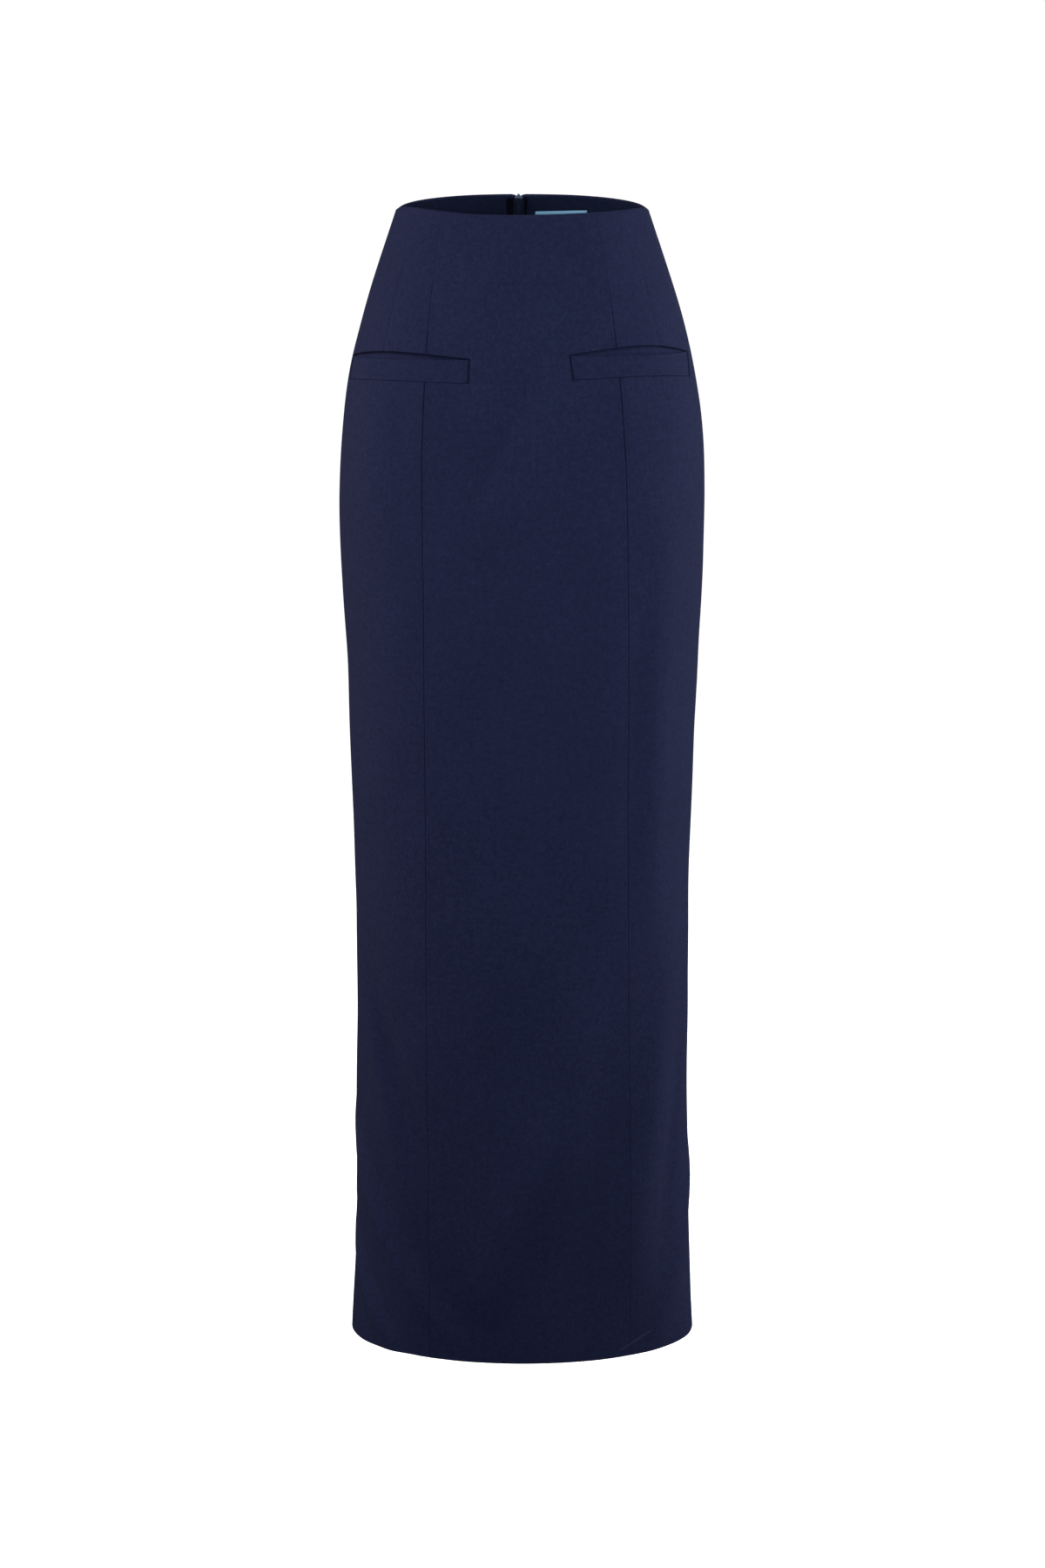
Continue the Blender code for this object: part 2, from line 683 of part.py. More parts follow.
def make_zip_slider():
    """Slider body inside the waist, its neck between the panels, and the bridge that holds the pull."""
    carrier = bpy.data.objects.new("zip_carrier", None)
    bpy.context.scene.collection.objects.link(carrier)
    here = cloth_point(CENTRE_BACK, SLIDER_LEVEL, 0.0)
    below = cloth_point(CENTRE_BACK, SLIDER_LEVEL + 0.001, 0.0)
    carrier.location = here
    carrier.rotation_euler.x = math.atan2(below.y - here.y, here.z - below.z)

    half = SLIDER_LENGTH / 2.0
    body_back = SLIDER_BODY_OUT - SLIDER_BODY_DEPTH
    plate_back = SLIDER_PLATE_OUT - SLIDER_PLATE_DEPTH
    overlap = 0.0002

    def centred(name, width, low_y, high_y, low_z, high_z):
        return box(name, (-width / 2.0, low_y, low_z), (width / 2.0, high_y, high_z))

    slider = centred("zip_slider", SLIDER_BODY_WIDTH, body_back, SLIDER_BODY_OUT, -half, half)
    soften(slider, METAL_ROUNDING)
    neck_low, neck_high = SLIDER_BODY_OUT - overlap, plate_back + overlap
    neck = centred("neck", SLIDER_NECK_WIDTH, neck_low, neck_high, -half, half + SLIDER_NECK_RISE)
    top_plate = centred("outer_plate", SLIDER_PLATE_WIDTH, plate_back, SLIDER_PLATE_OUT, -half, half)
    bridge_half = BRIDGE_LENGTH / 2.0
    slot_half = bridge_half - BRIDGE_BAR
    slot_top = SLIDER_PLATE_OUT + BRIDGE_SLOT
    bridge = centred(
        "bridge", BRIDGE_WIDTH, SLIDER_PLATE_OUT - overlap, slot_top + BRIDGE_BAR, -bridge_half, bridge_half
    )
    slot = centred("slot", 2.0 * BRIDGE_WIDTH, SLIDER_PLATE_OUT, slot_top, -slot_half, slot_half)
    for tool in (neck, top_plate, bridge):
        combine(slider, tool, "UNION")
    combine(slider, slot, "DIFFERENCE")
    finish(slider, "enamel")

    pull = make_zip_pull()
    pull.location = (0.0, SLIDER_PLATE_OUT + BRIDGE_SLOT / 2.0, PULL_WALL / 2.0 + SEAM_GAP - slot_half)
    pull.rotation_euler.x = -PULL_REST
    for piece in (slider, neck, top_plate, bridge, slot, pull):
        piece.parent = carrier
    pull_hole = bpy.data.objects["pull_hole"]
    pull_hole.parent = pull


def make_zip_pull():
    """Flat tab that hangs from its crossbar. Its origin is on the crossbar's middle line."""
    half, tip_half = PULL_WIDTH / 2.0, PULL_TIP_WIDTH / 2.0
    top = PULL_WALL / 2.0
    tip_middle = -PULL_LENGTH + tip_half
    outline = [(half, top), (-half, top), (-half, -PULL_HOLE_LENGTH)]
    for k in range(9):
        turn = math.pi * (1.0 + k / 8)
        outline.append((tip_half * math.cos(turn), tip_middle + tip_half * math.sin(turn)))
    outline.append((half, -PULL_HOLE_LENGTH))
    pull = plate("zip_pull", outline, -PULL_WALL / 2.0, PULL_WALL / 2.0)
    hole_half = PULL_HOLE_WIDTH / 2.0
    hole = box("pull_hole", (-hole_half, -PULL_WALL, -top - PULL_HOLE_LENGTH), (hole_half, PULL_WALL, -top))
    combine(pull, hole, "DIFFERENCE")
    finish(pull, "enamel")
    return pull


def main():
    for leftover in list(bpy.data.objects):
        bpy.data.objects.remove(leftover)
    panels = make_panels()
    for pocket in POCKETS:
        make_pocket(pocket, panels)
    make_facings()
    make_zip_tapes()
    make_label()
    make_zip_slider()


main()
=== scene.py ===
"""Looks of a long navy pencil skirt: cloth with turned edges and sewing, zip, label and light.

Metres, +Z up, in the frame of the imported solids. A place on the cloth is an angle from the centre
front (positive towards the wearer's left, +X) and a level below the waist edge.
"""

import math
from collections import namedtuple

import bpy
import numpy as np
from mathutils import Matrix, Vector


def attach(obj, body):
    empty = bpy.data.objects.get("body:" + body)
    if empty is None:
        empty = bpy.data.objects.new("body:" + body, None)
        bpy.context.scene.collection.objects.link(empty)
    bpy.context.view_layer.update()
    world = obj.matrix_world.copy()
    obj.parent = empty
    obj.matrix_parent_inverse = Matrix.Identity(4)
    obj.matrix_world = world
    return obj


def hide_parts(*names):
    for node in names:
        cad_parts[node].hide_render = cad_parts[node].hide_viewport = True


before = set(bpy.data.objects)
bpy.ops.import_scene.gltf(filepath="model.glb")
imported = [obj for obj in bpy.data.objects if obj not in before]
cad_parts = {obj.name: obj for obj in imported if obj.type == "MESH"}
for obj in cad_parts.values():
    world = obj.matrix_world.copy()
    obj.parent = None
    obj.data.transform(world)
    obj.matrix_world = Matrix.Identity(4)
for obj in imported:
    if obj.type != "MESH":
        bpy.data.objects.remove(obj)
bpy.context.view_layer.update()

# ---------------------------------------------------------------------------------- driving sizes

TURN = 2.0 * math.pi

LENGTH = 1.020  # waist edge to hem at the side seams
WALL = 0.0015
SEAM_GAP = 0.0003
SEAM_CLOSED = -0.00003  # the cloth on either side of a closed seam reaches just past its middle
SEAM_ROLL = 0.0010  # radius of the turned cloth beside a seam
EDGE_ROLL = 0.0013  # radius of the turned waist edge and hem
ROLL_OVER_DEPTH = 0.0020  # how far the outer cloth comes over to the inside at the waist
ROLL_OVER_WALL = 0.0012
ROLL_OVER_STEP = 0.0003
HEM_DEPTH = 0.030
HEM_EXTRA = 0.0009
ALLOWANCE_WIDTH = 0.0120
ALLOWANCE_WALL = 0.0004
ALLOWANCE_START = 0.0020  # how far below the facing the allowances start to thicken the wall
PRESS_MARK = 0.00010  # how far the seam allowances lift the pressed cloth over them
PRESS_MARK_START = 0.0010  # how far before a hidden edge its mark starts to fade
ALLOWANCE_FADE = 0.0040
FLANK = 0.00030  # how far the centre panel stands up just beside its seams
FLANK_MIDDLE = 0.0016
FLANK_REACH = 0.0007

FACING_DEPTH = 0.055
FACING_WALL = 0.0010
FACING_TOP = 0.0023
FACING_END_ROLL = 0.0005
FACING_TOP_ROLL = 0.0006
FACING_EDGE_ROLL = 0.0004
FACING_TO_ZIP_RIGHT = 0.0109
FACING_TO_ZIP_LEFT = 0.0078
OVERLOCK_PITCH = 0.0026
OVERLOCK_REACH = 0.0016
OVERLOCK_PAST_EDGE = 0.0002
OVERLOCK_CLEAR = 0.00008
OVERLOCK_HALF = 0.00011

CENTRE_BACK = math.radians(181.7)
ZIP_LENGTH = 0.240
ZIP_TAPE_TOP = 0.0035
ZIP_TAPE_WIDTH = 0.0120
ZIP_TAPE_WALL = 0.0008
ZIP_TAPE_STEP = 0.0030  # height over which the tape widens below the facing
ZIP_TAPE_STRIPS = 8
ZIP_NOTCH_DEPTH = 0.0024
ZIP_NOTCH_REACH = 0.0050
COIL_TOP = 0.0076
COIL_PITCH = 0.0012
COIL_WIRE = 0.00030
COIL_WIDTH = 0.0021
COIL_DEPTH = 0.0013
COIL_MIDDLE = 0.34  # share of a loop's width by which its middle lies over its own tape
COIL_CLEAR = 0.6  # of the wire's radius, between the tape and the outermost wire's middle

LABEL_TO_ZIP = 0.0153
LABEL_WIDTH = 0.0500
LABEL_HEIGHT = 0.0200
LABEL_DROP = 0.0139
LABEL_TILT = 0.0024  # how far it climbs towards its end away from the zip
LABEL_WALL = 0.0006
LABEL_SEWN_IN = 0.0013
LABEL_CLEAR = 0.0003
LABEL_LIFT = 0.0005  # how far its middle stands off the facing
LABEL_STITCH_FIRST = 0.0012
LABEL_STITCH_LAST = 0.0025
LABEL_STITCH_PITCH = 0.0023
LABEL_STITCH_LENGTH = 0.0016
LABEL_STITCH_HALF = 0.00013
LABEL_STITCH_OUT = 0.00008
LABEL_STITCH_BOW = 0.00010

WELT_OUT = 0.0002
WELT_WALL = 0.0016
WELT_ROLL = 0.0007
WELT_THIN = 0.0007
WELT_SINK = 0.0007  # how far the welt's end by the side seam dips under the panel
WELT_SINK_REACH = 0.0070
BAG_ABOVE_MOUTH = 0.0150
BAG_DEPTH = 0.1150
BAG_BEHIND_WELT = 0.0040
BAG_OUT = -0.0021
BAG_LAYER = 0.0008
BAG_SPACE = 0.0005
MOUTH_SINK = 0.0040  # how far the bag's back layer falls away behind the open mouth
MOUTH_SINK_AT = 0.64  # share of the way from the side seam's end
MOUTH_SINK_SPREAD = 0.20
MOUTH_SINK_LEAST = 0.3  # share of the fall that is left far from there
MOUTH_SINK_ABOVE = 0.0020  # how far above the welt's top it falls most
MOUTH_SINK_REACH = 0.0140
MOUTH_RISE = 0.0016  # how far the back layer comes up behind the mouth's end by the side seam
MOUTH_RISE_START = 0.0100
MOUTH_RISE_END = 0.0340
BAG_SEWN_EDGE = 0.0040
BAG_SEWN_GAP = 0.00006
BAG_OVERLAP = 0.0080

SLIDER_LEVEL = 0.0022
SLIDER_HALF = 0.0045
SLIDER_BODY_OUT = -0.0029
SLIDER_BODY_DEPTH = 0.0035
SLIDER_LAYER = 0.0010
SLIDER_FOOT_HALF = 0.0024
SLIDER_MIDDLE_HALF = 0.0029
SLIDER_MIDDLE_LEVEL = -0.0014
SLIDER_SHOULDER_HALF = 0.0034
SLIDER_SHOULDER_LEVEL = 0.0012
SLIDER_BEND = 0.0012
SLIDER_CLEFT = 0.0009
SLIDER_FLANGE = 0.0006
SLIDER_OVERLAP = 0.0002
SLIDER_ROUNDING = 0.00018
WEDGE_TIP = -0.0006
WEDGE_HALF = 0.0009
WEDGE_HALF_DROP = 0.0014
WEDGE_TOP_HALF = 0.0006
WEDGE_TOP_DROP = 0.0004
SLIDER_NECK_HALF = 0.0005
SLIDER_NECK_FOOT = 0.0004
SLIDER_NECK_RISE = 0.0010
ENAMEL_DARK_UP_TO = -0.0002  # height above the origin up to which the enamel keeps its own colour
WORN_AND_HIGHLIT_FROM = 0.0012  # and from which it is painted light, as worn metal and as a highlight
ENAMEL_UNEVEN = 0.0016
SLIDER_PLATE_HALF = 0.0018
SLIDER_PLATE_OUT = 0.0015
SLIDER_PLATE_DEPTH = 0.0010
BRIDGE_HALF_WIDTH = 0.0008
BRIDGE_HALF = 0.0034
BRIDGE_BAR = 0.0008
BRIDGE_SLOT = 0.0018
BRIDGE_BEND = 0.0012
BRIDGE_SLOT_BEND = 0.0006
PULL_LENGTH = 0.0190
PULL_HALF = 0.0024
PULL_TIP_HALF = 0.0027
PULL_WALL = 0.0010
PULL_BEND = 0.0008
PULL_ROUNDING = 0.00025
PULL_HOLE_HALF = 0.0014
PULL_HOLE_LENGTH = 0.0050
PULL_HOLE_CORNER = 0.0005
PULL_REST = math.radians(5.0)

# Half width, and depth before and behind the side seams, at levels below the waist edge.
Section = namedtuple("Section", "level half_width front back")
SECTIONS = (
    Section(0.000, 0.1095, 0.0860, 0.0900),
    Section(0.015, 0.1145, 0.0880, 0.0930),
    Section(0.045, 0.1246, 0.0920, 0.0990),
    Section(0.075, 0.1342, 0.0960, 0.1070),
    Section(0.105, 0.1427, 0.1000, 0.1160),
    Section(0.135, 0.1498, 0.1030, 0.1250),
    Section(0.165, 0.1550, 0.1060, 0.1320),
    Section(0.200, 0.1587, 0.1080, 0.1370),
    Section(0.250, 0.1609, 0.1100, 0.1380),
    Section(0.300, 0.1603, 0.1105, 0.1340),
    Section(0.400, 0.1554, 0.1105, 0.1220),
    Section(0.500, 0.1522, 0.1100, 0.1150),
    Section(0.600, 0.1492, 0.1100, 0.1110),
    Section(0.720, 0.1488, 0.1095, 0.1100),
    Section(0.850, 0.1500, 0.1095, 0.1100),
    Section(0.960, 0.1524, 0.1100, 0.1110),
    Section(1.020, 0.1555, 0.1105, 0.1120),
)

# Height of the waist edge above the origin on the wearer's right and left, by degrees from the
# centre front to the centre back.
WaistEdge = namedtuple("WaistEdge", "degrees right left")
WAIST_EDGE = (
    WaistEdge(0.0, 0.0032, 0.0032),
    WaistEdge(22.0, 0.0032, 0.0036),
    WaistEdge(50.0, 0.0049, 0.0038),
    WaistEdge(70.0, 0.0046, 0.0033),
    WaistEdge(80.0, 0.0023, 0.0013),
    WaistEdge(92.0, -0.0012, -0.0012),
    WaistEdge(110.0, 0.0009, 0.0009),
    WaistEdge(150.0, 0.0031, 0.0031),
    WaistEdge(185.0, 0.0031, 0.0031),
)
WAIST_EDGE_FADE = 0.030

# Distance of the two front seams from the middle plane, on the wearer's right and left.
PrincessSeam = namedtuple("PrincessSeam", "level right left")
PRINCESS_SEAMS = (
    PrincessSeam(0.000, 0.0686, 0.0633),
    PrincessSeam(0.031, 0.0738, 0.0698),
    PrincessSeam(0.068, 0.0784, 0.0756),
    PrincessSeam(0.115, 0.0823, 0.0814),
    PrincessSeam(0.200, 0.0864, 0.0887),
    PrincessSeam(0.262, 0.0865, 0.0908),
    PrincessSeam(0.338, 0.0858, 0.0923),
    PrincessSeam(0.570, 0.0849, 0.0932),
    PrincessSeam(0.890, 0.0840, 0.0957),
    PrincessSeam(1.020, 0.0824, 0.0965),
)

# Half the gap between the back panels: round the slider's neck, along the seam, down the slit.
BackGap = namedtuple("BackGap", "level half_gap")
BACK_GAPS = (
    BackGap(0.0000, 0.00080),
    BackGap(0.0075, 0.00080),
    BackGap(0.0150, 0.00015),
    BackGap(0.7200, 0.00015),
    BackGap(1.0200, 0.00120),
)

# Pocket mouths: two ends in degrees halfway down the window, how far each end leans from the
# window's top to its bottom, the level of the window's top and bottom at each end, and how far the
# upper lip and the bottom seam arch above the straight lines between their ends.
Pocket = namedtuple(
    "Pocket",
    "side low_end high_end low_lean high_lean low_top high_top low_bottom high_bottom"
    " top_rise bottom_rise",
)
POCKETS = (
    Pocket("right", -84.0, -18.0, 4.0, 0.0, 0.1271, 0.1196, 0.1482, 0.1402, 0.0060, 0.0023),
    Pocket("left", 16.6, 76.0, 0.6, -4.0, 0.1160, 0.1219, 0.1372, 0.1442, 0.0074, 0.0032),
)

# Soft ridges (positive) and troughs (negative) in the hanging cloth, from an upper to a lower end.
Fold = namedtuple("Fold", "top_degrees top_level low_degrees low_level reach height")
FOLDS = (
    Fold(-81.0, 0.620, -38.0, 0.900, 0.014, 0.0040),
    Fold(-72.0, 0.620, -29.0, 0.900, 0.013, -0.0042),
    Fold(-93.0, 0.800, -25.0, 1.010, 0.014, 0.0042),
    Fold(-81.0, 0.800, -13.0, 1.010, 0.018, -0.0032),
    Fold(-88.0, 0.912, -45.0, 1.030, 0.012, 0.0042),
    Fold(-90.0, 0.890, -38.0, 1.030, 0.012, -0.0036),
    Fold(-42.0, 0.130, -41.0, 0.220, 0.011, -0.0010),
    Fold(8.0, 0.100, -18.0, 0.270, 0.009, -0.0034),
    Fold(50.0, 0.230, 51.0, 0.700, 0.019, 0.0030),
    Fold(40.5, 0.280, 39.0, 0.660, 0.011, -0.0014),
    Fold(63.0, 0.620, 39.0, 0.960, 0.020, 0.0048),
    Fold(78.0, 0.660, 53.0, 0.960, 0.012, -0.0036),
    Fold(91.0, 0.840, 46.0, 1.030, 0.012, 0.0042),
    Fold(24.5, 0.620, 8.0, 0.880, 0.022, 0.0030),
    Fold(19.0, 0.760, -13.0, 0.990, 0.024, 0.0050),
    Fold(36.0, 0.640, 16.0, 0.990, 0.016, -0.0018),
    Fold(100.0, 0.760, 138.0, 1.090, 0.020, 0.0034),
    Fold(-98.0, 0.800, -130.0, 1.070, 0.019, 0.0032),
    Fold(-112.0, 0.860, -140.0, 1.090, 0.013, -0.0018),
    Fold(-150.0, 0.360, -118.0, 0.560, 0.020, -0.0018),
    Fold(152.0, 0.380, 122.0, 0.600, 0.018, -0.0018),
    Fold(160.0, 0.860, 150.0, 1.100, 0.017, -0.0022),
    Fold(178.0, 0.640, 196.0, 0.960, 0.016, 0.0022),
)
FOLD_RADIUS = 0.130
RIPPLE_START = 0.020
RIPPLE_FADE = 0.100

# Faint unevenness of pressed cloth: whole waves around, waves for each metre down, phase, height.
Ripple = namedtuple("Ripple", "around down phase height")
RIPPLES = (
    Ripple(3, 3.7, 0.4, 0.00025),
    Ripple(5, -6.1, 1.9, 0.00018),
    Ripple(9, 9.3, 0.8, 0.00014),
    Ripple(15, -4.2, 2.6, 0.00010),
    Ripple(23, 13.0, 1.1, 0.00006),
)

# How clearly the seams show, at levels below the waist edge: 1 is a full groove.
SeamShow = namedtuple("SeamShow", "level share")
SEAM_SHOW = (
    SeamShow(0.000, 0.16),
    SeamShow(0.050, 0.20),
    SeamShow(0.080, 0.42),
    SeamShow(0.115, 0.82),
    SeamShow(0.150, 0.82),
    SeamShow(0.190, 0.68),
    SeamShow(0.230, 0.58),
    SeamShow(0.300, 0.54),
    SeamShow(0.480, 0.48),
    SeamShow(0.600, 0.40),
    SeamShow(0.760, 0.34),
    SeamShow(1.020, 0.28),
)
LIP_SHOW = 0.62
WELT_SEAM_SHOW = 0.36
CORNER_REACH = 0.0004  # how far round a window's corner its lip or its welt seam still shows

# Painted highlights (lighter, positive) and painted shade (darker, negative) in fine lines on the
# front, from one (x, z) to another: how wide, how much lighter or darker than the cloth.
PaintedLightLine = namedtuple("PaintedLightLine", "from_x from_z to_x to_z reach tone")
PAINTED_LIGHT_LINES = (
    PaintedLightLine(0.1177, -0.9995, 0.0861, -1.0138, 0.0011, 2.10),
    PaintedLightLine(0.0258, -0.0960, 0.0290, -0.1580, 0.0008, 0.12),
    PaintedLightLine(-0.0440, -0.0990, -0.0425, -0.1600, 0.0008, 0.12),
    PaintedLightLine(0.0022, -0.1280, 0.0024, -0.1700, 0.0011, -0.10),
    PaintedLightLine(0.0098, -0.1680, 0.0100, -0.2160, 0.0016, 0.07),
)

# Sewn darts from the waist down: degrees, level where the dart ends, depth of its groove.
Dart = namedtuple("Dart", "degrees end depth")
FRONT_DARTS = (Dart(-55.5, 0.150, 0.00050), Dart(55.0, 0.150, 0.00045))
BACK_DARTS = (Dart(-143.0, 0.135, 0.00040), Dart(145.0, 0.130, 0.00040))
DART_REACH = 0.0009
DART_FADE = 0.030
DART_WAIST_FADE = 0.090
DART_AT_WAIST = 0.35  # share of the groove that shows at the pressed waist

# Ridge where the facing's lower edge shows on the front, by degrees around.
FACING_RIDGE_MIDDLE = 3.0
FACING_RIDGE_REACH = 30.0
FACING_RIDGE = 0.00032
FACING_RIDGE_FADE = 0.0025


# ------------------------------------------------------------------------------- the cloth's form


def along(rows, level, column):
    """One column of a table at any levels, on a smooth curve through the table's rows."""
    table = np.array(rows)
    levels, values = table[:, 0], table[:, column]
    steps = np.diff(levels)
    rises = np.diff(values) / steps
    inner = (rises[:-1] * steps[1:] + rises[1:] * steps[:-1]) / (steps[:-1] + steps[1:])
    slopes = np.concatenate((rises[:1], inner, rises[-1:]))
    at = np.clip(np.searchsorted(levels, level, side="right") - 1, 0, len(steps) - 1)
    f = (level - levels[at]) / steps[at]
    curve = (
        values[at] * (2.0 * f**3 - 3.0 * f**2 + 1.0)
        + values[at + 1] * (3.0 * f**2 - 2.0 * f**3)
        + slopes[at] * steps[at] * (f**3 - 2.0 * f**2 + f)
        + slopes[at + 1] * steps[at] * (f**3 - f**2)
    )
    return np.where(f < 0.0, values[0] + slopes[0] * (level - levels[0]), curve)


def smooth(f):
    """Soft step from 0 to 1."""
    f = np.clip(f, 0.0, 1.0)
    return f * f * (3.0 - 2.0 * f)


def roll(distance, radius):
    """How far a turned edge has fallen away at a distance from it: a quarter circle."""
    f = 1.0 - np.clip(distance / radius, 0.0, 1.0)
    return radius * (1.0 - np.sqrt(1.0 - f * f))


def form_point(angle, level):
    """Points of the plain form: half an ellipse before the side seams and another behind them."""
    half_width = along(SECTIONS, level, 1)
    depth = np.where(np.cos(angle) > 0.0, along(SECTIONS, level, 2), along(SECTIONS, level, 3))
    x, y = half_width * np.sin(angle), -depth * np.cos(angle)
    return np.stack([x, y, -level + np.zeros_like(x)], axis=-1)


def around(angle, level):
    """Movement of the form's points for each radian around it."""
    step = 0.01
    return (form_point(angle + step, level) - form_point(angle - step, level)) / (2.0 * step)


def speed(angle, level):
    return np.linalg.norm(around(angle, level), axis=-1)


def wrapped(angle):
    """The same angle from half a turn back to half a turn on."""
    return (angle + math.pi) % TURN - math.pi


def fold_height(angle, level):
    """How far folds and unevenness lift the cloth out of its plain form."""
    height = np.zeros(np.broadcast(angle, level).shape)
    for fold in FOLDS:
        f = np.clip((level - fold.top_level) / (fold.low_level - fold.top_level), 0.0, 1.0)
        middle = np.radians(fold.top_degrees + (fold.low_degrees - fold.top_degrees) * f)
        across = wrapped(angle - middle) * FOLD_RADIUS / fold.reach
        height += fold.height * np.sin(math.pi * f) * np.exp(-across * across)
    below_waist = smooth((level - RIPPLE_START) / RIPPLE_FADE)
    for ripple in RIPPLES:
        wave = np.sin(ripple.around * angle + TURN * ripple.down * level + ripple.phase)
        height += ripple.height * wave * below_waist
    return height


def cloth_point(angle, level, out):
    """Points at distances out of the cloth's outer face."""
    step = 0.001
    down = form_point(angle, level + step) - form_point(angle, level - step)
    normal = np.cross(down, around(angle, level))
    normal /= np.linalg.norm(normal, axis=-1, keepdims=True)
    height = np.asarray(out + fold_height(angle, level))
    return form_point(angle, level) + normal * height[..., None]


def from_centre_back(angle):
    """Distance around the waist from the centre back."""
    return np.abs(wrapped(angle - CENTRE_BACK)) * speed(CENTRE_BACK, 0.0)


# ------------------------------------------------------------- lines on the cloth: columns and rows


def princess(side):
    """Angle of a princess seam at any level."""
    column = PrincessSeam._fields.index(side)
    sign = 1.0 if side == "left" else -1.0

    def angle(level):
        return sign * np.arcsin(along(PRINCESS_SEAMS, level, column) / along(SECTIONS, level, 1))

    return angle


def upright(angle):
    """Line that stays at one angle."""
    return lambda level: np.full(np.shape(level), angle)


def level_row(level):
    """Row that stays at one level."""
    return lambda angle: np.full(np.shape(angle), level)


def moved(column, inset):
    """Line moved around the cloth by a distance, or by one that depends on the level."""

    def angle(level):
        base = column(level)
        distance = inset(level) if callable(inset) else inset
        return base + distance / speed(base, level)

    return angle


def lowered(row, distance):
    """Row moved down."""
    return lambda angle: row(angle) + distance


def between(low, high, share):
    """Line or row that keeps to a share of the way between two."""
    return lambda place: low(place) + (high(place) - low(place)) * share


def back_half_gap(level):
    levels, gaps = zip(*BACK_GAPS)
    return np.interp(level, levels, gaps)


def hanging(drop):
    """Row at a drop below the waist edge, which follows that edge near it."""

    def level(angle):
        dip = ZIP_NOTCH_DEPTH * (1.0 - smooth(from_centre_back(angle) / ZIP_NOTCH_REACH))
        degrees = np.degrees(wrapped(angle))
        right, left = (along(WAIST_EDGE, np.abs(degrees), column) for column in (1, 2))
        rise = np.where(degrees < 0.0, right, left) - dip
        return drop - rise * (1.0 - smooth(drop / WAIST_EDGE_FADE))

    return level


def mouth_share(pocket, angle):
    """How far along a pocket's mouth an angle is, from 0 to 1."""
    low, high = math.radians(pocket.low_end), math.radians(pocket.high_end)
    return np.clip((wrapped(angle) - low) / (high - low), 0.0, 1.0)


def mouth_end(pocket, end):
    """Line down one end of a pocket's window, which leans between the window's top and bottom."""
    middle, lean = (math.radians(getattr(pocket, end + key)) for key in ("_end", "_lean"))
    top, bottom = getattr(pocket, end + "_top"), getattr(pocket, end + "_bottom")

    def angle(level):
        return middle + lean * (np.clip((level - top) / (bottom - top), 0.0, 1.0) - 0.5)

    return angle


def mouth_row(edge):
    """Row along the tops or the bottoms of both windows, straight between and beyond them."""
    degrees, levels = [], []
    for pocket in POCKETS:
        low_level, high_level = getattr(pocket, "low_" + edge), getattr(pocket, "high_" + edge)
        slope = (high_level - low_level) / (pocket.high_end - pocket.low_end)
        degrees += [pocket.low_end - PAST_END, pocket.high_end + PAST_END]
        levels += [low_level - slope * PAST_END, high_level + slope * PAST_END]

    def level(angle):
        row = np.interp(np.degrees(wrapped(angle)), degrees, levels)
        for pocket in POCKETS:
            arch = np.sin(math.pi * mouth_share(pocket, angle))
            row = row - getattr(pocket, edge + "_rise") * arch
        return row

    return level


def pocket_row(pocket, edge, drop):
    """Row of one pocket, at a drop below its window's bottom or the line between its top's ends."""
    low, high = math.radians(pocket.low_end), math.radians(pocket.high_end)
    low_level = getattr(pocket, "low_" + edge)
    high_level = getattr(pocket, "high_" + edge)

    def level(angle):
        row = drop + low_level + (high_level - low_level) * (angle - low) / (high - low)
        if edge == "bottom":
            row = row - pocket.bottom_rise * np.sin(math.pi * mouth_share(pocket, angle))
        return row

    return level


SEAMS = {
    "centre_back_right": upright(CENTRE_BACK - TURN),
    "side_right": upright(math.radians(-90.0)),
    "princess_right": princess("right"),
    "princess_left": princess("left"),
    "side_left": upright(math.radians(90.0)),
    "centre_back_left": upright(CENTRE_BACK),
}

# A guide is a line or row that a grid follows, with the distances from it, before and after it,
# at which the grid has more lines, so that turned edges and grooves come out round.
Guide = namedtuple("Guide", "line before after")
TURNED = (0.0002, 0.0005, 0.0010, 0.0016, 0.0024)
ROLLED = (0.0002, 0.0005, 0.0009, 0.0014, 0.0020, 0.0023, 0.0045)
GROOVE = (0.0005, 0.0011, 0.0022)
STEP = (0.0004,)
ENDS = ()
PAST_END = 3.0  # degrees past a pocket's end to which its rows run on straight


def spread_lines(guides, spacing, shift, width):
    """Guides, their close lines and evenly spaced ones between them, in order."""
    lines = []
    for here, there in zip(guides, guides[1:]):
        lines.append(here.line)
        lines += [shift(here.line, distance) for distance in here.after]
        start = shift(here.line, here.after[-1]) if here.after else here.line
        end = shift(there.line, -there.before[-1]) if there.before else there.line
        count = max(math.ceil(width(start, end) / spacing), 1)
        lines += [between(start, end, k / count) for k in range(1, count)]
        lines += [shift(there.line, -distance) for distance in reversed(there.before)]
    return lines + [guides[-1].line]


def spread_columns(guides, spacing=0.0045):
    level = np.array([0.25])  # widths are measured at the hip

    def width(start, end):
        return float((end(level) - start(level))[0] * speed(start(level), level)[0])

    return spread_lines(guides, spacing, moved, width)


def spread_rows(guides, spacing=0.0060):
    angle = np.array([0.5])  # heights are measured beside the front's middle

    def width(start, end):
        return float((end(angle) - start(angle))[0])

    return spread_lines(guides, spacing, lowered, width)


# --------------------------------------------------------------------------------- cloth meshes

# A grid of places, with each one's distances from the grid's low, high, top and bottom edges.
Place = namedtuple("Place", "angle level low high top bottom")


def running(steps, axis):
    """Distances from the first line, from the steps between neighbouring lines."""
    total = np.cumsum(steps, axis=axis)
    return np.concatenate((np.zeros_like(np.take(total, [0], axis=axis)), total), axis=axis)


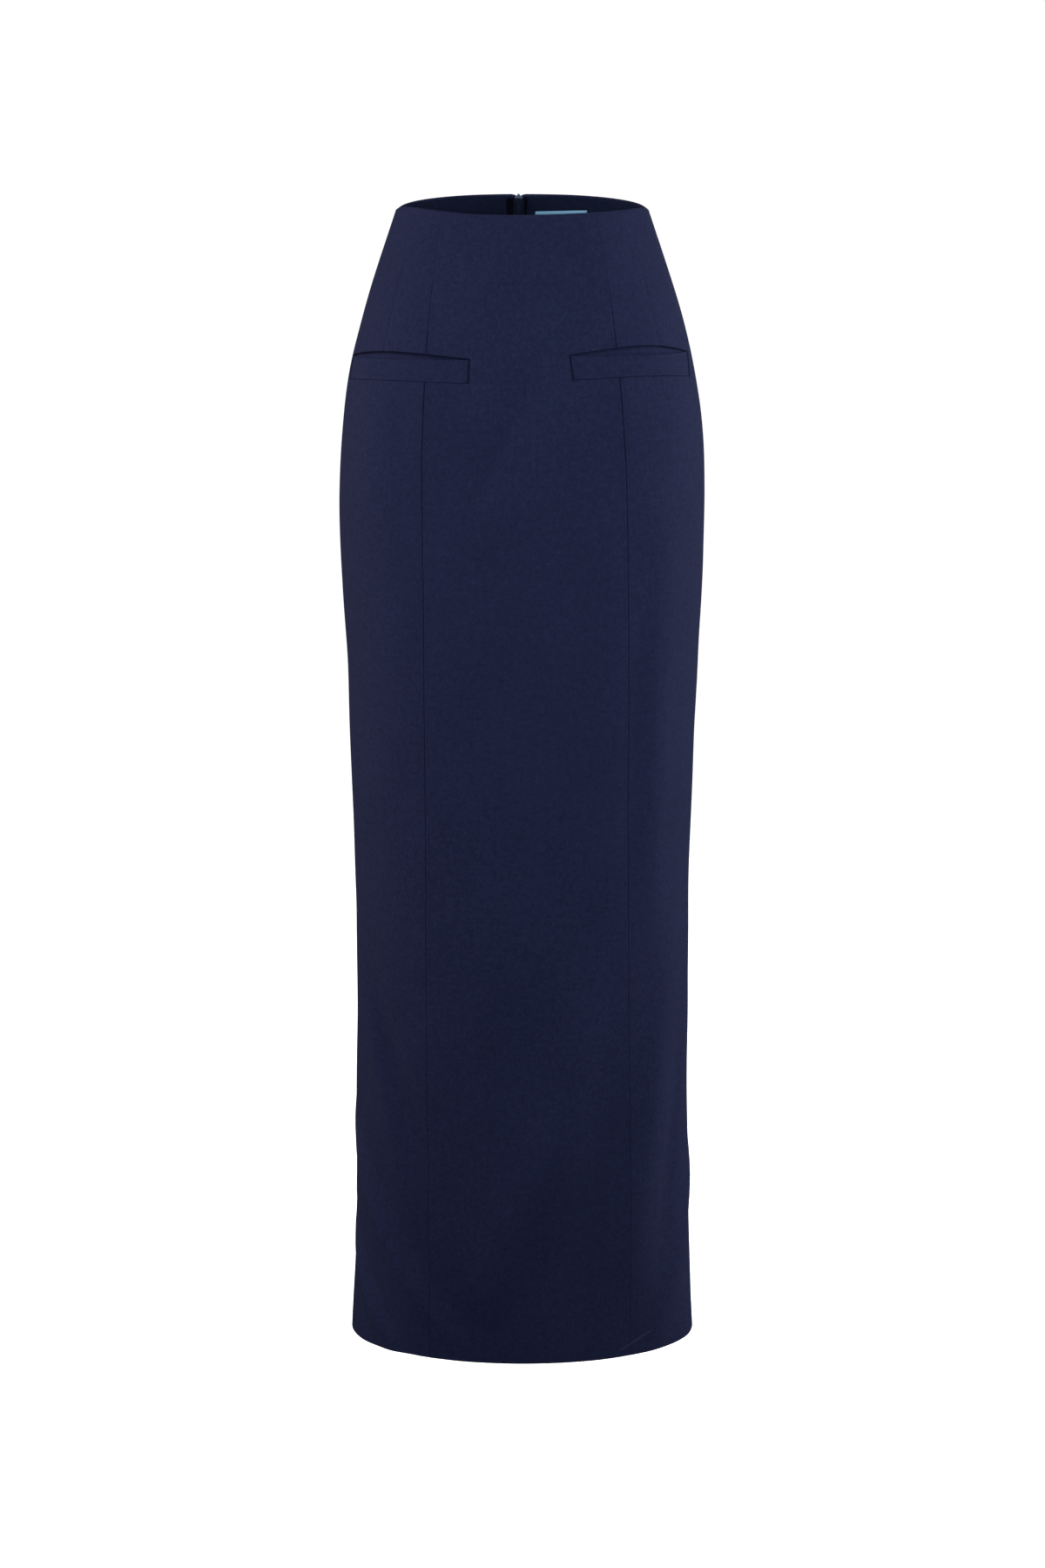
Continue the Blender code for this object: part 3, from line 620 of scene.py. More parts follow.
def lay_out(columns, rows):
    """Grid of places where columns meet rows."""
    angle = np.zeros((len(columns), len(rows)))
    level = np.zeros_like(angle)
    for _ in range(4):
        for i, column in enumerate(columns):
            angle[i] = column(level[i])
        for j, row in enumerate(rows):
            level[:, j] = row(angle[:, j])
    points = form_point(angle, level)
    low = running(np.linalg.norm(np.diff(points, axis=0), axis=2), 0)
    top = running(np.linalg.norm(np.diff(points, axis=1), axis=2), 1)
    return Place(angle, level, low, low[-1:] - low, top, top[:, -1:] - top)


def nearest_edge(place):
    return np.minimum(np.minimum(place.low, place.high), np.minimum(place.top, place.bottom))


def cloth_faces(used):
    """Faces of an outer and an inner grid, joined along every free edge of the used cells."""
    high = used.shape[1] + 1
    count = (used.shape[0] + 1) * high
    padded = np.pad(used, 1)
    i, j = np.nonzero(used)
    corners = [i * high + j, i * high + j + 1, (i + 1) * high + j + 1, (i + 1) * high + j]
    faces = [np.stack(corners, axis=1), np.stack(corners[::-1], axis=1) + count]
    for side, (di, dj) in enumerate(((0, 1), (1, 2), (2, 1), (1, 0))):
        free = ~padded[i + di, j + dj]
        start, end = corners[side][free], corners[(side + 1) % 4][free]
        faces.append(np.stack([end, start, start + count, end + count], axis=1))
    return np.concatenate(faces)


def cell_middles(grid):
    return (grid[:-1, :-1] + grid[1:, :-1] + grid[:-1, 1:] + grid[1:, 1:]) / 4.0


def flat_area(place, used):
    """Flat area of the used cells of a grid."""
    wide, high = np.diff(place.low, axis=0), np.diff(place.top, axis=1)
    cells = (wide[:, :-1] + wide[:, 1:]) * (high[:-1] + high[1:]) / 4.0
    return float(cells[used].sum())


# One closed layer of cloth, ready to be made into a mesh.
Layer = namedtuple("Layer", "points faces across down seam width length area")


def layer(columns, rows, outer, inner, used=None, seam=None):
    """Layer of cloth over a grid, its faces at distances out of the outer face that may vary."""
    place = lay_out(columns, rows)
    cells = np.ones((len(columns) - 1, len(rows) - 1), dtype=bool) if used is None else used(place)
    heights = [side(place) + np.zeros(place.angle.shape) for side in (outer, inner)]
    sides = [cloth_point(place.angle, place.level, height).reshape(-1, 3) for height in heights]
    faces = cloth_faces(cells)
    seam_distance = seam(place) if seam else np.minimum(place.low, place.high)
    kept, corners = np.unique(faces, return_inverse=True)

    def both(values):
        return np.tile(values.ravel(), 2)[kept]

    return Layer(
        np.concatenate(sides)[kept],
        corners.reshape(faces.shape),
        both(place.low - place.low[len(columns) // 2]),
        both(place.level),
        both(seam_distance),
        float(place.low[-1].max()),
        float(place.top[:, -1].max()),
        flat_area(place, cells),
    )


def new_piece(name, points, faces, look, body="skirt", sharp=50.0):
    """Mesh object that rides on a body."""
    mesh = bpy.data.meshes.new(name)
    mesh.from_pydata(points, [], faces)
    mesh.update()
    mesh.shade_smooth()
    mesh.set_sharp_from_angle(angle=math.radians(sharp))
    mesh.materials.append(look)
    piece = bpy.data.objects.new(name, mesh)
    bpy.context.scene.collection.objects.link(piece)
    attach(piece, body)
    return piece


def joined(meshes):
    """Points and faces of several meshes as those of one."""
    points, faces = [], []
    for some_points, some_faces in meshes:
        faces += [[len(points) + corner for corner in face] for face in some_faces]
        points += list(some_points)
    return points, faces


def cloth_piece(name, layers, look, node):
    """Cloth made of one or more layers, which stands for a node."""
    starts = np.cumsum([0] + [len(part.points) for part in layers[:-1]])
    points = np.concatenate([part.points for part in layers])
    faces = np.concatenate([part.faces + start for part, start in zip(layers, starts)])
    piece = new_piece(name, points.tolist(), faces.tolist(), look)
    across, down, seam = (
        np.concatenate([getattr(part, key) for part in layers])
        for key in ("across", "down", "seam")
    )
    grain = np.stack([across, down], axis=1)[faces.ravel()]
    piece.data.uv_layers.new(name="grain").data.foreach_set("uv", grain.ravel())
    distances = piece.data.attributes.new("seam", "FLOAT", "POINT")
    distances.data.foreach_set("value", seam.astype(np.float32))
    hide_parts(node)
    return piece


# --------------------------------------------------------------------------------------- finishes


class Value:
    """A value over a surface; arithmetic on it adds the nodes that work it out."""

    def __init__(self, look, socket):
        self.look, self.socket = look, socket

    def math(self, operation, *others):
        inputs = dict(enumerate((self, *others)))
        return self.look.add("ShaderNodeMath", {"operation": operation}, inputs)

    def after(self, operation, first):
        return self.look.add("ShaderNodeMath", {"operation": operation}, {0: first, 1: self})

    def __add__(self, other):
        return self.math("ADD", other)

    def __radd__(self, other):
        return self.after("ADD", other)

    def __sub__(self, other):
        return self.math("SUBTRACT", other)

    def __rsub__(self, other):
        return self.after("SUBTRACT", other)

    def __mul__(self, other):
        return self.math("MULTIPLY", other)

    def __rmul__(self, other):
        return self.after("MULTIPLY", other)

    def wave(self, length):
        """Sine wave of this distance, from -1 to 1."""
        return (self * (TURN / length)).math("SINE")

    def within(self, start, end):
        """1 up to the start, 0 from the end on, and soft between them."""
        settings = {"interpolation_type": "SMOOTHSTEP"}
        inputs = {"Value": self, "From Min": start, "From Max": end, "To Min": 1.0, "To Max": 0.0}
        return self.look.add("ShaderNodeMapRange", settings, inputs)


class Look:
    """A material under construction."""

    def __init__(self, name):
        self.material = bpy.data.materials.new(name)
        self.material.use_nodes = True
        self.tree = self.material.node_tree
        self.shader = self.tree.nodes["Principled BSDF"]

    def add(self, kind, settings=None, inputs=None, output=0):
        node = self.tree.nodes.new(kind)
        for key, value in (settings or {}).items():
            setattr(node, key, value)
        for key, value in (inputs or {}).items():
            self.put(node.inputs[key], value)
        return Value(self, node.outputs[output])

    def put(self, socket, value):
        if isinstance(value, Value):
            self.tree.links.new(value.socket, socket)
        else:
            socket.default_value = value

    def distance(self, name):
        return self.add("ShaderNodeAttribute", {"attribute_name": name}, output="Fac")

    def grain(self):
        """Place on the cloth along its threads, in metres."""
        return self.add("ShaderNodeUVMap", {"uv_map": "grain"})

    def place(self):
        """Place in the frame, in metres."""
        return self.add("ShaderNodeTexCoord", output="Object")

    def parts(self, vector):
        """The three parts of a vector."""
        first = self.add("ShaderNodeSeparateXYZ", inputs={"Vector": vector})
        return [Value(self, output) for output in first.socket.node.outputs]

    def noise(self, vector, scale, detail=2.0):
        """Soft noise from 0 to 1, with its own scale along each direction."""
        inputs = {0: vector, 1: scale}
        stretched = self.add("ShaderNodeVectorMath", {"operation": "MULTIPLY"}, inputs)
        inputs = {"Vector": stretched, "Scale": 1.0, "Detail": detail}
        return self.add("ShaderNodeTexNoise", {}, inputs)

    def mix(self, share, low, high):
        """Colour between two colours."""
        inputs = {0: share, 6: low, 7: high}
        return self.add("ShaderNodeMix", {"data_type": "RGBA"}, inputs, output=2)

    def bump(self, height):
        """Surface raised by a height in metres."""
        return self.add("ShaderNodeBump", {}, {"Height": height, "Strength": 1.0, "Distance": 1.0})

    def finish(self, **values):
        """Set the shader's sockets, named with underscores for spaces."""
        for name, value in values.items():
            self.put(self.shader.inputs[name.replace("_", " ")], value)
        return self.material


def colour(red, green, blue):
    return (red, green, blue, 1.0)


# Lengths that a finish repeats over.
WEAVE_ACROSS = 0.00062
WEAVE_DOWN = 0.00055
SEAM_STITCH = 0.0027
TAPE_RIB_ACROSS = 0.00090
TAPE_RIB_DOWN = 0.00050
TAPE_STITCH = 0.0024
SATIN_WEFT = 0.00030
SATIN_FLOAT = 0.00070

# Distances from the middle of the zip; past the first two the tape is painted dark as shade.
TAPE_SHADE_START = 0.0044
TAPE_SHADE_FULL = 0.0052
TAPE_SEWN_AT = 0.0058

NAVY_DEEP = colour(0.0052, 0.0066, 0.0190)
NAVY_LIGHT = colour(0.0206, 0.0254, 0.0686)
# Dark seam thread; the suiting also uses it as painted shade in seam grooves and at edges.
NAVY_THREAD_AND_SHADE = colour(0.0040, 0.0045, 0.0110)
# The suiting's colours darkened as painted shade, for the facing inside the waist.
INNER_SHADED_DEEP = colour(0.0034, 0.0052, 0.0140)
INNER_SHADED_LIGHT = colour(0.0128, 0.0184, 0.0472)
OVERLOCK_DEEP = colour(0.010, 0.012, 0.030)
OVERLOCK_LIGHT = colour(0.024, 0.030, 0.062)
BLUE_DEEP = colour(0.10, 0.26, 0.44)
BLUE_LIGHT = colour(0.20, 0.42, 0.62)


def painted_light_tone(look):
    """How much lighter or darker the painted highlight and shade lines make the front's cloth."""
    x, y, z = look.parts(look.place())
    front = y.within(-0.010, 0.0)
    tone = 0.0
    for mark in PAINTED_LIGHT_LINES:
        way_x, way_z = mark.to_x - mark.from_x, mark.to_z - mark.from_z
        length = math.hypot(way_x, way_z)
        past_x, past_z = x - mark.from_x, z - mark.from_z
        run = (past_x * way_x + past_z * way_z) * (1.0 / length**2)
        aside = (past_x * way_z - past_z * way_x) * (1.0 / length)
        near_line = aside.math("ABSOLUTE").within(0.0, mark.reach)
        near_middle = (run - 0.5).math("ABSOLUTE").within(0.15, 0.55)
        tone = near_line * near_middle * mark.tone + tone
    return tone * front


def suiting(name, deep, light, stitches_down=True, painted_lines=False):
    """Fine plain-weave wool, faintly streaked along its threads, drawn in by seam stitches."""
    look = Look(name)
    grain = look.grain()
    across, down, _ = look.parts(grain)
    weave = across.wave(WEAVE_ACROSS) * down.wave(WEAVE_DOWN)
    long_threads = look.noise(grain, (1700.0, 40.0, 0.0))
    cross_threads = look.noise(grain, (36.0, 1500.0, 0.0))
    fuzz = look.noise(grain, (850.0, 850.0, 0.0), 3.0)
    flecks = look.noise(grain, (330.0, 300.0, 0.0))
    blots = look.noise(grain, (150.0, 120.0, 0.0))
    clouds = look.noise(grain, (13.0, 8.0, 0.0))
    tone = (
        (long_threads + cross_threads) * 0.20
        + fuzz * 0.34
        + flecks * 0.54
        + blots * 0.28
        + clouds * 0.22
        - 0.39
    )
    # Painted highlight and shade lines on the front.
    if painted_lines:
        tone = tone + painted_light_tone(look)
    seam = look.distance("seam")
    run = down if stitches_down else across
    stitch = run.wave(SEAM_STITCH) * 0.5 + 0.5
    beside_seam = seam.within(0.0004, 0.0032)
    # Dark stitch thread and painted shade in the grooves along seams, edges and pocket lips.
    thread_and_groove_shade = seam.within(0.0002, 0.0019) * (stitch * 0.35 + 0.65)
    cloth = look.mix(tone, deep, light)
    height = weave * 0.000018 + fuzz * 0.000060 + long_threads * 0.000028 + flecks * 0.00005
    puckers = beside_seam * stitch * clouds.within(0.35, 0.62) * 0.00007
    return look.finish(
        Base_Color=look.mix(thread_and_groove_shade * 0.55, cloth, NAVY_THREAD_AND_SHADE),
        Roughness=fuzz * 0.16 + 0.74,
        Specular_IOR_Level=0.02,
        Normal=look.bump(height - puckers),
    )


def zip_tape():
    """Ribbed polyester tape: navy beside the teeth, painted almost black with shade further out."""
    look = Look("zip_tape")
    grain = look.grain()
    across, down, _ = look.parts(grain)
    seam = look.distance("seam")
    ribs = down.wave(TAPE_RIB_DOWN) * across.wave(TAPE_RIB_ACROSS)
    fuzz = look.noise(grain, (900.0, 900.0, 0.0), 3.0)
    unshaded_beside_teeth = seam.within(TAPE_SHADE_START, TAPE_SHADE_FULL)
    # The tape beside the teeth takes the same shaded navy.
    navy = look.mix(fuzz, INNER_SHADED_DEEP, INNER_SHADED_LIGHT)
    stitch = down.wave(TAPE_STITCH) * 0.5 + 0.5
    sewing = (seam - TAPE_SEWN_AT).math("ABSOLUTE").within(0.0002, 0.0005) * stitch
    return look.finish(
        # Painted shade: almost black away from the teeth, where the facing's edge shades the tape.
        Base_Color=look.mix(unshaded_beside_teeth, colour(0.0030, 0.0028, 0.0085), navy),
        Roughness=fuzz * 0.15 + 0.70,
        Specular_IOR_Level=0.04,
        Normal=look.bump(ribs * 0.00003 + fuzz * 0.00003 - sewing * 0.0001),
    )


def coil_plastic():
    look = Look("coil_plastic")
    wear = look.noise(look.place(), (700.0, 700.0, 300.0))
    plastic = look.mix(wear, colour(0.006, 0.008, 0.022), colour(0.014, 0.018, 0.042))
    return look.finish(Base_Color=plastic, Roughness=wear * 0.2 + 0.45, Specular_IOR_Level=0.10)


def enamel():
    """Navy enamel over zinc, scuffed to the metal; its top painted light as worn metal and
    highlight.
    """
    look = Look("enamel")
    place = look.place()
    height = look.parts(place)[2]
    scuffs = look.noise(place, (2200.0, 2200.0, 380.0), 4.0)
    flow = look.noise(place, (420.0, 420.0, 420.0), 3.0)
    # Painted highlight and worn metal along the top.
    worn_and_highlit_top = 1.0 - (height + flow * ENAMEL_UNEVEN).within(ENAMEL_DARK_UP_TO, WORN_AND_HIGHLIT_FROM)
    scuffed = 1.0 - scuffs.within(0.70, 0.76)
    worn_and_highlit = worn_and_highlit_top.math("MAXIMUM", scuffed * 0.2)
    body = look.mix(flow, colour(0.003, 0.005, 0.013), colour(0.009, 0.014, 0.033))
    return look.finish(
        Base_Color=look.mix(worn_and_highlit, body, colour(0.090, 0.120, 0.200)),
        Metallic=worn_and_highlit * 0.3,
        Roughness=flow * 0.16 + 0.50,
        Specular_IOR_Level=0.06,
        Normal=look.bump(flow * 0.00004 - scuffs * 0.00002),
    )


def label_satin():
    """Blank damask satin, pale blue, its weft lines running along the label."""
    look = Look("label_satin")
    grain = look.grain()
    across, down, _ = look.parts(grain)
    seam = look.distance("seam")
    weft = down.wave(SATIN_WEFT) * 0.5 + 0.5
    satin = (across + down * 2.0).wave(SATIN_FLOAT) * 0.5 + 0.5
    fuzz = look.noise(grain, (1200.0, 1600.0, 0.0))
    edge = seam.within(0.0006, 0.0011)
    tone = weft * 0.25 + satin * 0.20 + fuzz * 0.5
    blue = look.mix(tone, colour(0.150, 0.330, 0.530), colour(0.235, 0.480, 0.700))
    return look.finish(
        Base_Color=look.mix(edge * 0.5, blue, colour(0.100, 0.250, 0.430)),
        Roughness=fuzz * 0.12 + 0.42,
        Specular_IOR_Level=0.4,
        Sheen_Weight=0.15,
        Normal=look.bump(weft * 0.00003 + satin * 0.00003 + fuzz * 0.00003),
    )


def thread(name, deep, light):
    look = Look(name)
    fibres = look.noise(look.place(), (3000.0, 3000.0, 900.0))
    return look.finish(Base_Color=look.mix(fibres, deep, light), Roughness=fibres * 0.2 + 0.55)


OUTER_CLOTH = suiting("suiting", NAVY_DEEP, NAVY_LIGHT, painted_lines=True)
WELT_CLOTH = suiting("welt_suiting", NAVY_DEEP, NAVY_LIGHT, stitches_down=False)
# The facing is the same suiting, painted darker as shade.
FACING_CLOTH = suiting("facing_suiting", INNER_SHADED_DEEP, INNER_SHADED_LIGHT, stitches_down=False)
BAG_CLOTH = suiting("bag_suiting", NAVY_DEEP, NAVY_LIGHT)
TAPE = zip_tape()
COIL = coil_plastic()
ENAMEL = enamel()
LABEL = label_satin()
LABEL_THREAD = thread("label_thread", BLUE_DEEP, BLUE_LIGHT)
OVERLOCK_THREAD = thread("overlock_thread", OVERLOCK_DEEP, OVERLOCK_LIGHT)


# ----------------------------------------------------------------------------------- outer panels


def seam_show(level):
    return along(SEAM_SHOW, level, 1)


def window_distance(place):
    """Distance from the nearest pocket window, and how clearly its edge shows there."""
    nearest = np.full(place.angle.shape, 1.0)
    scale = speed(place.angle, place.level)
    top, bottom = mouth_row("top")(place.angle), mouth_row("bottom")(place.angle)
    past = np.maximum(np.maximum(top - place.level, place.level - bottom), 0.0)
    for pocket in POCKETS:
        low, high = (mouth_end(pocket, end)(place.level) for end in ("low", "high"))
        beside = np.maximum(np.maximum(low - place.angle, place.angle - high) * scale, 0.0)
        nearest = np.minimum(nearest, np.hypot(beside, past))
    edge_show = np.where(place.level > bottom, WELT_SEAM_SHOW, LIP_SHOW)
    show = np.where((past > 0.0) & (past > nearest - CORNER_REACH), edge_show, 1.0)
    return nearest, show


def seam_distance(windows):
    """Distance from a panel's seams and windows, made longer where they show less."""

    def distance(place):
        # The longer distance also narrows the painted shade that the suiting lays along these
        # lines.
        nearest = np.minimum(place.low, place.high) / seam_show(place.level)
        if windows:
            window, show = window_distance(place)
            nearest = np.minimum(nearest, window / show)
        return nearest

    return distance


def outside_windows(place):
    """The cells of a grid that aren't in a pocket window."""
    angle, level = cell_middles(place.angle), cell_middles(place.level)
    inside_rows = (level > mouth_row("top")(angle)) & (level < mouth_row("bottom")(angle))
    used = np.ones(angle.shape, dtype=bool)
    for pocket in POCKETS:
        low, high = (mouth_end(pocket, end)(level) for end in ("low", "high"))
        used &= ~(inside_rows & (angle > low) & (angle < high))
    return used


def dart_groove(place, darts):
    depth = np.zeros(place.angle.shape)
    for dart in darts:
        aside = (place.angle - math.radians(dart.degrees)) * speed(place.angle, place.level)
        fade = 1.0 - smooth((place.level - dart.end + DART_FADE) / DART_FADE)
        fade *= DART_AT_WAIST + (1.0 - DART_AT_WAIST) * smooth(place.level / DART_WAIST_FADE)
        depth += dart.depth * fade * np.exp(-((aside / DART_REACH) ** 2))
    return depth


def panel_outside(darts, windows, flank):
    """Outer face of a panel: turned edges, darts, and what lies under the pressed cloth."""

    def out(place):
        seam, show = np.minimum(place.low, place.high), seam_show(place.level)
        fall = np.maximum(roll(seam, SEAM_ROLL) * show, roll(place.top, EDGE_ROLL))
        fall = np.maximum(fall, roll(place.bottom, EDGE_ROLL))
        if windows:
            window, window_show = window_distance(place)
            fall = np.maximum(fall, roll(window, SEAM_ROLL) * window_show)
        past_allowance = seam - ALLOWANCE_WIDTH + PRESS_MARK_START
        over_allowance = 1.0 - smooth(past_allowance / ALLOWANCE_FADE)
        past_facing = place.level - FACING_DEPTH + PRESS_MARK_START
        over_facing = 1.0 - smooth(past_facing / FACING_RIDGE_FADE)
        ridge_share = (np.degrees(place.angle) - FACING_RIDGE_MIDDLE) / FACING_RIDGE_REACH
        ridge = FACING_RIDGE * over_facing * np.exp(-(ridge_share**4))
        beside = flank * show * np.exp(-(((seam - FLANK_MIDDLE) / FLANK_REACH) ** 2))
        return PRESS_MARK * over_allowance + ridge + beside - dart_groove(place, darts) - fall

    return out


def panel_inside(place):
    """Inner face of a panel: rolled over at the waist, a hem turned up, allowances at seams."""
    over = 1.0 - smooth((place.top - ROLL_OVER_DEPTH) / ROLL_OVER_STEP)
    turned_up = smooth((place.level - LENGTH + HEM_DEPTH) / STEP[0])
    below_facing = smooth((place.top - FACING_DEPTH - ALLOWANCE_START) / ALLOWANCE_START)
    seam = np.minimum(place.low, place.high)
    beside_seam = 1.0 - smooth((seam - ALLOWANCE_WIDTH) / STEP[0])
    allowance = below_facing * (1.0 - turned_up) * beside_seam
    edges = np.maximum(roll(place.top, ROLL_OVER_WALL), roll(place.bottom, EDGE_ROLL))
    extra = ROLL_OVER_WALL * over + HEM_EXTRA * turned_up + ALLOWANCE_WALL * allowance
    return edges - WALL - extra


def make_panels():
    waist = Guide(hanging(0.0), ENDS, ROLLED)
    facing = Guide(hanging(FACING_DEPTH), GROOVE[:2], GROOVE)
    mouth_top = Guide(mouth_row("top"), TURNED, TURNED)
    mouth_bottom = Guide(mouth_row("bottom"), TURNED, TURNED)
    turn_up = Guide(level_row(LENGTH - HEM_DEPTH), ENDS, STEP)
    hem = Guide(level_row(LENGTH), TURNED, ENDS)
    front_rows = spread_rows([waist, facing, mouth_top, mouth_bottom, turn_up, hem])
    back_rows = spread_rows([waist, facing, turn_up, hem])

    def line(dart):
        return Guide(upright(math.radians(dart.degrees)), GROOVE, GROOVE)

    def end(pocket, side):
        return Guide(mouth_end(pocket, side), TURNED, TURNED)

    def panel(name, low_seam, high_seam, inner_guides, darts=(), windows=True):
        low, high = SEAMS[low_seam], SEAMS[high_seam]
        first = moved(low, back_half_gap if low_seam == "centre_back_right" else SEAM_CLOSED)
        last = moved(high, -SEAM_CLOSED)
        if high_seam == "centre_back_left":
            last = moved(high, lambda level: -back_half_gap(level))
        low_allowance = [Guide(moved(low, ALLOWANCE_WIDTH), ENDS, STEP)]
        high_allowance = [Guide(moved(high, -ALLOWANCE_WIDTH - STEP[0]), ENDS, STEP)]
        if windows and low_seam == "side_right":
            low_allowance = []  # the pocket's end lies over it
        if windows and high_seam == "side_left":
            high_allowance = []
        inside = low_allowance + inner_guides + high_allowance
        guides = [Guide(first, ENDS, TURNED), *inside, Guide(last, TURNED, ENDS)]
        outside = panel_outside(darts, windows, FLANK if name == "front_center" else 0.0)
        used = outside_windows if windows else None
        seam = seam_distance(windows)
        rows = front_rows if windows else back_rows
        cloth = layer(spread_columns(guides), rows, outside, panel_inside, used, seam)
        cloth_piece(name + "_cloth", [cloth], OUTER_CLOTH, name)

    right, left = POCKETS
    (right_dart, left_dart), (back_right_dart, back_left_dart) = FRONT_DARTS, BACK_DARTS
    guides = [line(back_right_dart)]
    panel("back_right", "centre_back_right", "side_right", guides, [back_right_dart], False)
    guides = [end(right, "low"), line(right_dart)]
    panel("front_side_right", "side_right", "princess_right", guides, [right_dart])
    guides = [end(right, "high"), end(left, "low")]
    panel("front_center", "princess_right", "princess_left", guides)
    guides = [line(left_dart), end(left, "high")]
    panel("front_side_left", "princess_left", "side_left", guides, [left_dart])
    guides = [line(back_left_dart)]
    panel("back_left", "side_left", "centre_back_left", guides, [back_left_dart], False)


# ------------------------------------------------------------------ facings, pockets, zip and label


def make_facings():
    face = -WALL - SEAM_GAP
    back = face - FACING_WALL
    top = Guide(lowered(hanging(0.0), FACING_TOP), ENDS, TURNED)
    rows = spread_rows([top, Guide(hanging(FACING_DEPTH), TURNED, ENDS)])
    half_gap = SEAM_GAP / 2.0

    def inner(place):
        ends = roll(np.minimum(place.low, place.high), FACING_END_ROLL)
        edges = np.maximum(roll(place.top, FACING_TOP_ROLL), roll(place.bottom, FACING_EDGE_ROLL))
        return back + np.maximum(ends, edges)

    ends = (
        ("facing_back_right", "centre_back_right", FACING_TO_ZIP_RIGHT, "side_right", -half_gap),
        ("facing_front", "side_right", half_gap, "side_left", -half_gap),
        ("facing_back_left", "side_left", half_gap, "centre_back_left", -FACING_TO_ZIP_LEFT),
    )
    for name, low_seam, low_inset, high_seam, high_inset in ends:
        first, last = moved(SEAMS[low_seam], low_inset), moved(SEAMS[high_seam], high_inset)
        columns = spread_columns([Guide(first, ENDS, TURNED), Guide(last, TURNED, ENDS)])
        cloth = layer(columns, rows, lambda place: face, inner, seam=lambda place: place.bottom)
        cloth_piece(name + "_cloth", [cloth], FACING_CLOTH, name)
        make_overlock(name + "_overlock", first, last, face, back)


def make_overlock(name, first, last, face, back):
    """Overlock thread wound over the facing's lower edge."""
    level = np.array([FACING_DEPTH])
    start, end = first(level)[0], last(level)[0]
    width = (end - start) * float(speed((start + end) / 2.0, level)[0])
    turns, steps = int(width / OVERLOCK_PITCH), 10
    phase = np.arange(turns * steps + 1) / steps
    angle = start + (end - start) * phase / turns
    middle = FACING_DEPTH - OVERLOCK_REACH + OVERLOCK_PAST_EDGE
    depth = (face - back) / 2.0 + OVERLOCK_CLEAR
    drop = middle + OVERLOCK_REACH * np.cos(TURN * phase)
    out = (face + back) / 2.0 + depth * np.sin(TURN * phase)
    points, faces = tube(cloth_point(angle, drop, out), OVERLOCK_HALF, 5)
    new_piece(name, points, faces, OVERLOCK_THREAD)


def make_pockets():
    for pocket in POCKETS:
        first = moved(mouth_end(pocket, "low"), SEAM_GAP)
        last = moved(mouth_end(pocket, "high"), -SEAM_GAP)
        columns = spread_columns([Guide(first, ENDS, TURNED), Guide(last, TURNED, ENDS)])
        top = Guide(pocket_row(pocket, "top", SEAM_GAP), ENDS, TURNED)
        bottom = Guide(pocket_row(pocket, "bottom", -SEAM_CLOSED), TURNED, ENDS)

        def sink(place, pocket=pocket):
            """Share of the way down under the panel, by the end at the side seam."""
            side_end = place.low if pocket.side == "right" else place.high
            return 1.0 - smooth(side_end / WELT_SINK_REACH)

        def welt_outside(place):
            sewn = WELT_SEAM_SHOW * roll(place.bottom, WELT_ROLL)
            free = roll(np.minimum(np.minimum(place.low, place.high), place.top), WELT_ROLL)
            return WELT_OUT - np.maximum(sewn, free) - WELT_SINK * sink(place)

        def welt_inside(place):
            wall = WELT_WALL - (WELT_WALL - WELT_THIN) * sink(place)
            return WELT_OUT - wall - WELT_SINK * sink(place) + roll(place.top, WELT_ROLL)

        def welt_seam(place):
            ends = np.minimum(place.low, place.high)
            return np.minimum(place.bottom / WELT_SEAM_SHOW, ends)

        rows = spread_rows([top, bottom], spacing=0.003)
        welt = layer(columns, rows, welt_outside, welt_inside, seam=welt_seam)
        node = f"pocket_welt_{pocket.side}"
        cloth_piece(node + "_cloth", [welt], WELT_CLOTH, node)
        low, high = upright(math.radians(pocket.low_end)), upright(math.radians(pocket.high_end))
        make_bag(pocket, moved(low, -BAG_OVERLAP), moved(high, BAG_OVERLAP))


